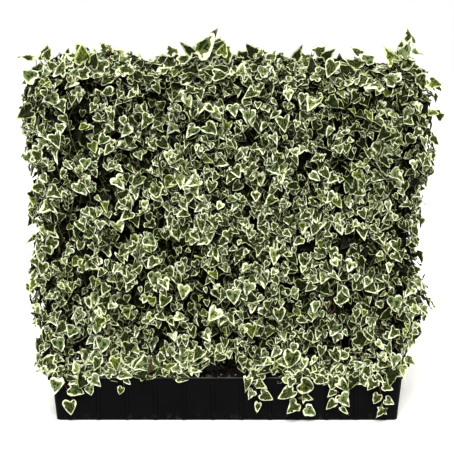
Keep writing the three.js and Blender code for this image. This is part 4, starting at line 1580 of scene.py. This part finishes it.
@dataclass
class WireTrellis:
    """The welded mesh of galvanised wire: eleven uprights, nine rails and a weld at each crossing."""

    finish: bpy.types.Material
    uprights: int = 11
    rails: int = 9
    upright_pitch: float = 0.08878
    foot: float = 0.0043
    top: float = 1.0
    lowest: float = 0.150
    highest: float = 0.990
    overhang: float = 0.012
    radius: float = 0.002
    rail_y: float = -0.0043

    def build(self) -> None:
        """Welds the mesh as one piece that stands for all its wires."""
        half = (self.uprights - 1) / 2 * self.upright_pitch
        rise = (self.highest - self.lowest) / (self.rails - 1)
        lines = []
        for i in range(self.uprights):
            x = i * self.upright_pitch - half
            path = [Vector((x, 0.0, self.foot)), Vector((x, 0.0, self.top))]
            lines.append((path, [self.radius] * 2))
        for i in range(self.rails):
            z = self.lowest + i * rise
            ends = (-half - self.overhang, half + self.overhang)
            lines.append(([Vector((x, self.rail_y, z)) for x in ends], [self.radius] * 2))
        tree = GrowthSheet("welded_wire")
        material = tree.dial("Material", "Material")
        sides = tree.dial("Sides", "Int")
        across = tree.dial("Uprights", "Int")
        up = tree.dial("Rails", "Int")
        width = tree.dial("Width", "Float")
        height = tree.dial("Height", "Float")
        middle = tree.dial("Middle", "Vector")
        weld_radius = tree.dial("Weld radius", "Float")
        wires = tree.tube(tree.lines(), tree.circle(sides))
        crossings = tree.node("GeometryNodeMeshGrid", {}, {
            "Size X": width, "Size Y": height, "Vertices X": across, "Vertices Y": up,
        })
        stand = tree.node("GeometryNodeTransform", {}, {
            "Geometry": tree.value(crossings), "Rotation": (math.pi / 2, 0.0, 0.0), "Translation": middle,
        })
        weld = tree.node("GeometryNodeMeshIcoSphere", {}, {"Radius": weld_radius, "Subdivisions": 2})
        welds = tree.node("GeometryNodeInstanceOnPoints", {}, {
            "Points": tree.value(stand), "Instance": tree.value(weld), "Scale": (1.0, 1.2, 1.0),
        })
        smooth_wires = tree.node("GeometryNodeSetShadeSmooth", {}, {"Geometry": tree.value(welds)})
        tree.finish([wires, tree.value(smooth_wires)], material)
        piece = new_lines("wire_trellis", lines)
        tree.grow(piece, {
            "Material": self.finish, "Sides": 10, "Uprights": self.uprights, "Rails": self.rails,
            "Width": 2 * half, "Height": self.highest - self.lowest, "Weld radius": 0.0022,
            "Middle": (0.0, self.rail_y / 2, (self.lowest + self.highest) / 2),
        })
        nodes = [f"trellis_upright_{i + 1:02d}" for i in range(self.uprights)]
        nodes += [f"trellis_rail_{i + 1}" for i in range(self.rails)]
        settle(piece, nodes)


@dataclass
class PlanterTrough:
    """The ribbed trough: thin leaning walls with a rolled lip, a floor with drain holes, and upright ribs."""

    finish: bpy.types.Material
    rim_length: float = 1.010
    rim_depth: float = 0.208
    height: float = 0.128
    end_taper: float = 0.011
    side_taper: float = 0.008
    wall: float = 0.003
    floor: float = 0.004
    corner: float = 0.014
    corner_steps: int = 8
    lip: float = 0.003
    lip_height: float = 0.006
    rib_width: float = 0.0125
    rib_pitch: float = 0.082
    rib_depth: float = 0.0015
    rib_chamfer: float = 0.0018
    rib_drop: float = 0.017
    long_ribs: int = 12
    end_ribs: int = 2
    drain_radius: float = 0.0055
    drain_rows: tuple[float, float] = (-0.045, 0.045)
    drains_in_a_row: int = 4

    def half(self, z: float) -> tuple[float, float]:
        """Measures the outside of the walls.

        Args:
            z: the height.

        Returns:
            Half the length and half the depth there.
        """
        lean = 1 - z / self.height
        x = self.rim_length / 2 - self.lip - self.end_taper * lean
        y = self.rim_depth / 2 - self.lip - self.side_taper * lean
        return x, y

    def ring(self, z: float, out: float) -> list[Vector]:
        """Goes round the wall.

        Args:
            z: the height.
            out: how far outside the wall.

        Returns:
            A rounded rectangle, anticlockwise seen from above.
        """
        half_x, half_y = self.half(z)
        points = []
        for quarter, (sx, sy) in enumerate(((1, 1), (-1, 1), (-1, -1), (1, -1))):
            for i in range(self.corner_steps + 1):
                angle = math.pi / 2 * (quarter + i / self.corner_steps)
                x = sx * (half_x - self.corner) + (self.corner + out) * math.cos(angle)
                y = sy * (half_y - self.corner) + (self.corner + out) * math.sin(angle)
                points.append(Vector((x, y, z)))
        return points

    def drains(self) -> list[tuple[float, float]]:
        """Centres of the drain holes."""
        spacing = 2 * (self.half(self.floor)[0] - self.wall) / self.drains_in_a_row
        across = [(i - (self.drains_in_a_row - 1) / 2) * spacing for i in range(self.drains_in_a_row)]
        return [(x, y) for x in across for y in self.drain_rows]

    def shell(self) -> bpy.types.Object:
        """The walls, lip and floor as one closed shell."""
        lip_bottom = self.height - self.lip_height
        profile = [
            (0.0, -0.0014), (0.0005, -0.0004), (0.0014, 0.0), (0.03, 0.0), (0.06, 0.0), (0.09, 0.0),
            (lip_bottom - 0.0008, 0.0), (lip_bottom, 0.0006), (lip_bottom, self.lip - 0.0008),
            (lip_bottom + 0.0008, self.lip), (self.height - 0.0016, self.lip),
            (self.height - 0.0005, self.lip - 0.0005), (self.height, self.lip - 0.0016),
            (self.height, -self.wall + 0.0008),
            (self.height - 0.0008, -self.wall), (0.06, -self.wall), (self.floor + 0.0015, -self.wall),
            (self.floor, -self.wall - 0.0015),
        ]
        rings = [self.ring(z, out) for z, out in profile]
        count = len(rings[0])
        points = [point for ring in rings for point in ring]
        faces = stack(count, len(rings))
        turns = [2 * math.pi * i / 16 for i in range(16)]
        edge = [(self.drain_radius * math.cos(a), self.drain_radius * math.sin(a)) for a in turns]
        holes = [[(x + across, y + back) for across, back in edge] for x, y in self.drains()]
        base = self.plate(points, faces, rings[0], 0, holes, False)
        top = self.plate(points, faces, rings[-1], count * (len(rings) - 1), holes, True)
        for low, high in zip(base, top):
            faces += band(high, low)
        return new_piece("trough_shell", points, faces)

    def plate(self, points: list[Vector], faces: list[Sequence[int]], ring: Sequence[Vector], first: int,
              holes: Sequence[Sequence[tuple[float, float]]], upward: bool) -> list[list[int]]:
        """Closes a ring with a flat plate that has holes.

        Args:
            points: the shell's points, to which the holes' are added.
            faces: the shell's faces, to which the plate's are added.
            ring: the plate's outline, already among the points.
            first: the place of the ring's first point among the points.
            holes: the holes' outlines.
            upward: whether the plate faces up.

        Returns:
            For each hole, the places of its points.
        """
        flat = [Vector((p.x, p.y)) for p in ring]
        loops = [list(range(len(ring)))]
        for hole in holes:
            loops.append(list(range(len(flat), len(flat) + len(hole))))
            flat += [Vector(p) for p in hole]
        edges = [(loop[i], loop[(i + 1) % len(loop)]) for loop in loops for i in range(len(loop))]
        cut = delaunay_2d_cdt(flat, edges, [], 0, 1e-7)
        start = len(points)
        points += [Vector((p.x, p.y, ring[0].z)) for p in flat[len(ring):]]
        places = [first + i if i < len(ring) else start + i - len(ring) for i in range(len(flat))]
        for face in cut[2]:
            ids = [cut[3][i][0] for i in face]
            centre = sum((flat[i] for i in ids), Vector((0.0, 0.0))) / 3
            if min(math.dist(centre, drain) for drain in self.drains()) > self.drain_radius * 0.9:
                turned = ids if upward else ids[::-1]
                faces.append(tuple(places[i] for i in turned))
        return [[places[i] for i in loop] for loop in loops[1:]]

    def rib(self, name: str, on_end: bool) -> bpy.types.Object:
        """Makes one rib as it stands on the front wall, or on an end wall turned to the front.

        Args:
            name: the object's name.
            on_end: whether it is for the end walls.

        Returns:
            The object, which isn't in the scene.
        """
        top = self.height - self.rib_drop
        half_width = self.rib_width / 2
        section = [
            (-half_width, -0.0015), (-half_width, 0.0002), (-half_width + self.rib_chamfer, self.rib_depth),
            (half_width - self.rib_chamfer, self.rib_depth), (half_width, 0.0002), (half_width, -0.0015),
        ]
        points = []
        for z, rise in ((0.0, 0.7), (0.0006, 1.0), (top - 0.004, 1.0), (top - 0.002, 0.75), (top, -0.6)):
            wall = self.half(z)[0 if on_end else 1]
            points += [Vector((x, -(wall + (out * rise if out > 0 else out)), z)) for x, out in section]
        count = len(section)
        ends = [tuple(range(count))[::-1], tuple(range(4 * count, 5 * count))]
        faces = [*ends, *stack(count, 5)]
        rib = new_piece(name, points, faces)
        bpy.context.scene.collection.objects.unlink(rib)
        return rib

    def sheet(self) -> GrowthSheet:
        """The tree that sets rows of ribs on the four walls."""
        tree = GrowthSheet("trough_ribs")
        material = tree.dial("Material", "Material")
        pitch = tree.dial("Rib pitch", "Float")
        parts = [tree.geometry()]
        for wall, turn in (("Long", 0.0), ("End", math.pi / 2)):
            rib = tree.dial(f"{wall} rib", "Object")
            count = tree.dial(f"{wall} ribs", "Int")
            first = (count - 1) * pitch * -0.5
            along = (1.0, 0.0, 0.0) if wall == "Long" else (0.0, 1.0, 0.0)
            row = tree.node("GeometryNodeMeshLine", {}, {
                "Count": count, "Start Location": tree.vector("SCALE", along, first),
                "Offset": tree.vector("SCALE", along, pitch),
            })
            shape = tree.node("GeometryNodeObjectInfo", {}, {"Object": rib, "As Instance": True})
            for half_turn in (0.0, math.pi):
                parts.append(tree.value(tree.node("GeometryNodeInstanceOnPoints", {}, {
                    "Points": tree.value(row), "Instance": tree.value(shape, "Geometry"),
                    "Rotation": (0.0, 0.0, turn + half_turn),
                })))
        tree.finish(parts, material)
        return tree

    def build(self) -> None:
        """Moulds the trough in the place of its CAD node."""
        piece = self.shell()
        ribs = {"Long rib": self.rib("long_rib", False), "End rib": self.rib("end_rib", True)}
        self.sheet().grow(piece, {
            "Material": self.finish, "Rib pitch": self.rib_pitch, "Long ribs": self.long_ribs,
            "End ribs": self.end_ribs, **ribs,
        })
        for rib in ribs.values():
            discard(rib)
        settle(piece, ["planter_trough"])


@dataclass
class PottingSoil:
    """The compost: an uneven bed inside the trough, with crumbs, fibres and pale grains on it."""

    trough: PlanterTrough
    finish: bpy.types.Material
    top: float = 0.113
    gap: float = 0.0003
    spacing: float = 0.010
    crumb_density: float = 9000.0
    seed: int = 5

    def height(self, x: float, y: float) -> float:
        """Height of the bed at a place."""
        lumps = math.sin(x / 0.029) * math.cos(y / 0.023) + 0.6 * math.sin(x / 0.011 + y / 0.017)
        return self.top + 0.0022 * lumps + 0.0018 * noise.noise(Vector((x * 90, y * 90, 0.0)))

    def bed(self) -> bpy.types.Object:
        """The bed as one closed block that fills the trough."""
        inset = -self.trough.wall - self.gap
        rim = self.trough.ring(self.top, inset)
        flat = [Vector((p.x, p.y)) for p in rim]
        half_x, half_y = self.trough.half(self.top)
        count_x = int(2 * (half_x - 0.012) / self.spacing)
        count_y = int(2 * (half_y - 0.012) / self.spacing)
        for i in range(count_x + 1):
            for j in range(count_y + 1):
                x = lerp(-half_x + 0.012, half_x - 0.012, i / count_x)
                y = lerp(-half_y + 0.012, half_y - 0.012, j / count_y)
                flat.append(Vector((x, y)))
        loop = [(i, (i + 1) % len(rim)) for i in range(len(rim))]
        cut = delaunay_2d_cdt(flat, loop, [], 1, 1e-7)
        points = [Vector((p.x, p.y, self.height(p.x, p.y))) for p in flat]
        faces: list[Sequence[int]] = [tuple(cut[3][i][0] for i in face) for face in cut[2]]
        low = self.trough.ring(self.trough.floor + self.gap, inset)
        start = len(points)
        points += low
        faces += band(range(start, start + len(low)), range(len(rim)))
        faces.append(tuple(range(start, start + len(low)))[::-1])
        return new_piece("soil_bed", points, faces)

    def crumbs(self) -> bpy.types.Collection:
        """A tray of crumbs, chips and pale grains of about a millimetre's size."""
        tray = bpy.data.collections.new("soil_crumbs")
        chance = random.Random(self.seed)
        for i in range(12):
            pale = 1.0 if i % 6 == 0 else 0.0
            stretch = Vector((1.0, chance.uniform(0.4, 1.0), chance.uniform(0.3, 0.8)))
            points, faces = self.lump(chance)
            crumb = new_piece(f"crumb_{i:02d}", [Vector(p) * stretch for p in points], faces)
            bpy.context.scene.collection.objects.unlink(crumb)
            mark(crumb.data, "pale", [pale] * len(points))
            tray.objects.link(crumb)
        return tray

    @staticmethod
    def lump(chance: random.Random) -> tuple[list[Vector], list[tuple[int, int, int]]]:
        """Makes a rough twenty-sided lump of unit size.

        Args:
            chance: where its roughness comes from.

        Returns:
            Its points and its faces.
        """
        golden = (1 + math.sqrt(5)) / 2
        points = [Vector((0, a, b * golden)).normalized() for a in (-1, 1) for b in (-1, 1)]
        points += [Vector((a, b * golden, 0)).normalized() for a in (-1, 1) for b in (-1, 1)]
        points += [Vector((b * golden, 0, a)).normalized() for a in (-1, 1) for b in (-1, 1)]
        faces = []
        for i in range(12):
            for j in range(i + 1, 12):
                for k in range(j + 1, 12):
                    a, b, c = points[i], points[j], points[k]
                    if max((a - b).length, (b - c).length, (c - a).length) < 1.1:
                        outward = (b - a).cross(c - a).dot(a + b + c) > 0
                        faces.append((i, j, k) if outward else (i, k, j))
        return [point * chance.uniform(0.7, 1.25) for point in points], faces

    def build(self) -> None:
        """Fills the trough in the place of its CAD node."""
        tree = GrowthSheet("soil_surface")
        seed = tree.dial("Seed", "Int")
        material = tree.dial("Material", "Material")
        density = tree.dial("Crumb density", "Float")
        kit = tree.dial("Crumbs", "Collection")
        kinds = tree.dial("Kinds", "Int")
        normal = tree.value(tree.node("GeometryNodeInputNormal"))
        upward = tree.split(normal)[2] > 0.7
        scatter = tree.node("GeometryNodeDistributePointsOnFaces", {}, {
            "Mesh": tree.geometry(), "Selection": upward, "Density": density, "Seed": seed,
        })
        share = tree.chance(seed, 0.0, 1.0)
        lumps = tree.planted(tree.value(scatter, "Points"), kit, {
            "Instance Index": tree.chance(seed, 0, kinds, "INT"),
            "Rotation": tree.turned(None, "X", tree.jitter(seed)), "Scale": 0.0009 + 0.0028 * share * share,
        })
        tree.finish([tree.geometry(), lumps], material)
        piece = self.bed()
        tray = self.crumbs()
        tree.grow(piece, {
            "Seed": self.seed, "Material": self.finish, "Crumb density": self.crumb_density,
            "Crumbs": tray, "Kinds": len(tray.objects) - 1,
        })
        clear_tray(tray)
        settle(piece, ["potting_soil"])


@dataclass(frozen=True)
class PlasticFinish:
    """Black moulded plastic, faintly mottled, with painted shade lines beside the ribs, a painted highlight
    in patches along the rim's top edge, and a little dried splash near the base.
    """

    body: Colour = (9, 9, 10)
    worn: Colour = (30, 31, 32)
    # painted highlight: pale grey along the rim's top edge
    rubbed: Colour = (92, 95, 98)
    dust: Colour = (74, 68, 58)
    rib_pitch: float = 0.082
    # painted shade lines lie this far from each rib's middle
    rib_edge: float = 0.0056
    rim: float = 0.1272

    def material(self) -> bpy.types.Material:
        """Mixes the plastic."""
        paint = Paint("black_trough_plastic", Specular_IOR_Level=0.1)
        sheet = paint.sheet
        place = sheet.place()
        along, depth, height = sheet.split(place)
        broad = sheet.noise(place, 9.0, 3.0, 0.6)
        fine = sheet.noise(place, 900.0, 2.0, 0.5)
        colour = sheet.mix(broad.step(0.35, 0.75) * 0.12, rgba(self.body), rgba(self.worn))
        on_side = abs(depth).step(0.093, 0.096)
        rib = abs((along / self.rib_pitch).rest() - 0.5)
        # painted shade: near-black lines beside each rib, on the long walls below the rib tops
        rib_shade = 1 - abs(rib * self.rib_pitch - self.rib_edge).step(0.0007, 0.0018)
        colour = sheet.mix(rib_shade * on_side * (1 - height.step(0.108, 0.112)), colour, rgba((1, 1, 1)))
        # painted highlight: the rim's top edge made lighter in patches broken up by noise
        highlight_patches = sheet.noise(place, 24.0, 3.0, 0.7).step(0.30, 0.55, 0.35, 1.0)
        rim_highlight_mask = height.step(self.rim - 0.0006, self.rim) * highlight_patches
        colour = sheet.mix(rim_highlight_mask, colour, rgba(self.rubbed))
        low = (1 - height.step(0.0, 0.03)) * sheet.noise(place, 60.0, 4.0, 0.7).step(0.52, 0.66)
        paint.feed("Base Color", sheet.mix(low * 0.35, colour, rgba(self.dust)))
        paint.feed("Roughness", 0.36 + broad * 0.2 + low * 0.2)
        paint.relief(fine + broad * 2.0, 0.12, 0.0004)
        return paint.material


@dataclass(frozen=True)
class SoilFinish:
    """Damp peat compost with lighter fibres and pale grains."""

    wet: Colour = (20, 16, 12)
    dry: Colour = (50, 40, 31)
    grain: Colour = (176, 160, 138)

    def material(self) -> bpy.types.Material:
        """Mixes the soil."""
        paint = Paint("peat_compost", Specular_IOR_Level=0.3)
        sheet = paint.sheet
        place = sheet.place()
        broad = sheet.noise(place, 40.0, 4.0, 0.65)
        fine = sheet.noise(place, 420.0, 3.0, 0.7)
        colour = sheet.mix((broad * 0.6 + fine * 0.6).step(0.45, 0.8), rgba(self.wet), rgba(self.dry))
        grains = sheet.noise(place, 260.0, 1.0).step(0.70, 0.74)
        colour = sheet.mix(grains, colour, rgba(self.grain))
        colour = sheet.mix(sheet.attribute("pale"), colour, rgba((214, 208, 192)))
        paint.feed("Base Color", colour)
        paint.feed("Roughness", 0.78 + fine * 0.2)
        paint.relief(fine + broad * 1.5, 0.7, 0.0015)
        return paint.material


@dataclass(frozen=True)
class ZincFinish:
    """Hot-dipped galvanised wire, dull grey with paler spangle and a few dark spots."""

    bright: Colour = (128, 131, 134)
    dull: Colour = (82, 85, 88)

    def material(self) -> bpy.types.Material:
        """Mixes the zinc."""
        paint = Paint("galvanised_wire", Metallic=0.85)
        sheet = paint.sheet
        place = sheet.place()
        spangle = sheet.noise(place, 160.0, 2.0, 0.6)
        spots = sheet.noise(place, 70.0, 3.0, 0.7).step(0.62, 0.72)
        colour = sheet.mix(spangle.step(0.35, 0.65), rgba(self.dull), rgba(self.bright))
        paint.feed("Base Color", sheet.mix(spots * 0.7, colour, rgba((70, 68, 62))))
        paint.feed("Roughness", 0.34 + spangle * 0.2 + spots * 0.25)
        paint.relief(spangle, 0.2, 0.0004)
        return paint.material


@dataclass(frozen=True)
class BarkFinish:
    """Ivy bark: grey-brown, cracked lengthwise, greener where the stem is thin."""

    bark: Colour = (92, 76, 58)
    crack: Colour = (44, 34, 26)
    green: Colour = (96, 100, 58)

    def material(self) -> bpy.types.Material:
        """Mixes the bark."""
        paint = Paint("ivy_bark", Specular_IOR_Level=0.3)
        sheet = paint.sheet
        place = sheet.place()
        long_grain = sheet.vector("MULTIPLY", place, (1.0, 1.0, 0.16))
        cracks = sheet.noise(long_grain, 420.0, 4.0, 0.65)
        blotch = sheet.noise(place, 30.0, 2.0)
        colour = sheet.mix(cracks.step(0.36, 0.6), rgba(self.crack), rgba(self.bark))
        _, _, height = sheet.split(place)
        young = (height + blotch * 0.4).step(0.5, 1.2)
        paint.feed("Base Color", sheet.mix(young * 0.7, colour, rgba(self.green)))
        paint.feed("Roughness", 0.72 + cracks * 0.2)
        paint.relief(cracks, 0.6, 0.001)
        return paint.material


@dataclass(frozen=True)
class FloorFinish:
    """Pale studio floor with the faintest mottle."""

    pale: Colour = (252, 252, 252)

    def material(self) -> bpy.types.Material:
        """Mixes the floor."""
        paint = Paint("studio_floor", Specular_IOR_Level=0.1)
        sheet = paint.sheet
        cloud = sheet.noise(sheet.place(), 1.5)
        paint.feed("Base Color", sheet.mix(cloud * 0.3, rgba(self.pale), rgba((247, 247, 247))))
        paint.feed("Roughness", 0.85 + cloud * 0.1)
        return paint.material


@dataclass
class Studio:
    """The floor, the soft lights, the pale surround and the camera. The surround's own light is warm, as
    light that has passed through leaves is."""

    eye: Triple = (0.0, -3.30, 1.042)
    pitch_degrees: float = 8.52
    lens: float = 91.6
    sensor: float = 36.0
    floor_radius: float = 60.0
    ambient: Triple = (0.150, 0.146, 0.092)
    gamma: float = 0.81

    def build(self) -> None:
        """Sets the whole stage."""
        self.camera()
        self.floor()
        self.surround()
        self.lamp("key_light", (-0.08, -0.70, 0.70), 40.0, 4.35)
        self.lamp("fill_light", (0.30, -0.90, 0.25), 60.0, 0.5)
        self.lamp("back_light", (0.25, 0.75, 0.60), 60.0, 1.8)
        bpy.context.scene.view_settings.view_transform = "Standard"
        bpy.context.scene.view_settings.gamma = self.gamma

    def camera(self) -> None:
        """Puts the camera in front of the hedge, a little above its top, looking slightly down."""
        data = bpy.data.cameras.new("front_camera")
        data.lens = self.lens
        data.sensor_width = self.sensor
        data.clip_end = 200.0
        camera = bpy.data.objects.new("front_camera", data)
        camera.location = self.eye
        camera.rotation_euler = (math.radians(90 - self.pitch_degrees), 0.0, 0.0)
        bpy.context.scene.collection.objects.link(camera)
        bpy.context.scene.camera = camera

    def floor(self) -> None:
        """Lays a wide round floor just under the trough."""
        sides = 64
        ring = [2 * math.pi * i / sides for i in range(sides)]
        points = [(self.floor_radius * math.cos(a), self.floor_radius * math.sin(a), -0.0005) for a in ring]
        floor = new_piece("studio_floor", points, [tuple(range(sides))])
        floor.data.materials.append(FloorFinish().material())

    def surround(self) -> None:
        """Lights everything evenly from a pale surround."""
        world = bpy.data.worlds.new("pale_surround")
        world.use_nodes = True
        world.node_tree.nodes.clear()
        sheet = NodeSheet(world.node_tree)
        seen = sheet.value(sheet.node("ShaderNodeLightPath"), "Is Camera Ray")
        colour = sheet.mix(seen, (*self.ambient, 1.0), (1.0, 1.0, 1.0, 1.0))
        light = sheet.node("ShaderNodeBackground", {}, {"Color": colour, "Strength": 1.0})
        sheet.node("ShaderNodeOutputWorld", {}, {"Surface": sheet.value(light)})
        bpy.context.scene.world = world

    def lamp(self, name: str, towards: Triple, softness: float, strength: float) -> None:
        """Adds an even soft light that comes from a direction.

        Args:
            name: the light's name.
            towards: the direction from the hedge to the light.
            softness: how wide the light looks, in degrees.
            strength: its brightness.
        """
        data = bpy.data.lights.new(name, "SUN")
        data.angle = math.radians(softness)
        data.energy = strength
        lamp = bpy.data.objects.new(name, data)
        lamp.location = Vector(towards) * 4.0
        lamp.rotation_euler = (-Vector(towards)).to_track_quat("-Z", "Y").to_euler()
        bpy.context.scene.collection.objects.link(lamp)


def leaf_kits() -> dict[str, LeafKit]:
    """The trays of leaves for the hedge's layers."""
    forms = {
        LeafForm.HEART: 3, LeafForm.ARROW: 1, LeafForm.SHIELD: 3, LeafForm.BROAD: 3,
        LeafForm.LANCE: 1, LeafForm.BIRDFOOT: 1, LeafForm.TRIANGLE: 1, LeafForm.YOUNG: 2,
    }
    bright = {
        LeafTone.MARBLED: 7, LeafTone.DEEP: 3, LeafTone.GREY: 3, LeafTone.LIME: 1, LeafTone.CREAM: 2,
    }
    # painted shade: the middle and inner layers take many near-black leaves
    mixed = {LeafTone.MARBLED: 2, LeafTone.DEEP: 4, LeafTone.GREY: 1, LeafTone.OLD: 3}
    shaded = {LeafTone.DEEP: 1, LeafTone.OLD: 3}
    fresh = {LeafTone.MARBLED: 5, LeafTone.GREY: 2}
    return {
        "outer": LeafKit("outer", bright, forms, 3),
        "middle": LeafKit("middle", mixed, forms, 5),
        "inner": LeafKit("inner", shaded, forms, 7, False),
        "shoot": LeafKit("shoot", fresh, forms, 9),
    }


def main() -> None:
    """Builds the stage and the hedge in order."""
    logging.basicConfig(level=logging.INFO, format="%(name)s: %(message)s")
    Studio().build()
    kits = leaf_kits()
    leaf = LeafFinish().material()
    trough = PlanterTrough(PlasticFinish().material())
    trough.build()
    PottingSoil(trough, SoilFinish().material()).build()
    WireTrellis(ZincFinish().material()).build()
    cover = HedgeCover(kits, leaf)
    bark = BarkFinish().material()
    ClimbingStems(cover.pitch, bark).build()
    cover.build()
    sprays = Sprays(kits["shoot"], leaf)
    TrailingShoots(sprays, cover.pitch).build()
    GrowingTips(sprays, cover.pitch).build()
    LooseLeaves("feature_leaves", FEATURE_LEAVES, leaf, "ivy_leaves").build()
    LooseLeaves("dry_leaves", DRY_LEAVES, bark, "ivy_stem").build()
    for kit in kits.values():
        clear_tray(kit.collection)
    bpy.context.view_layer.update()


if __name__ == "__main__":
    main()
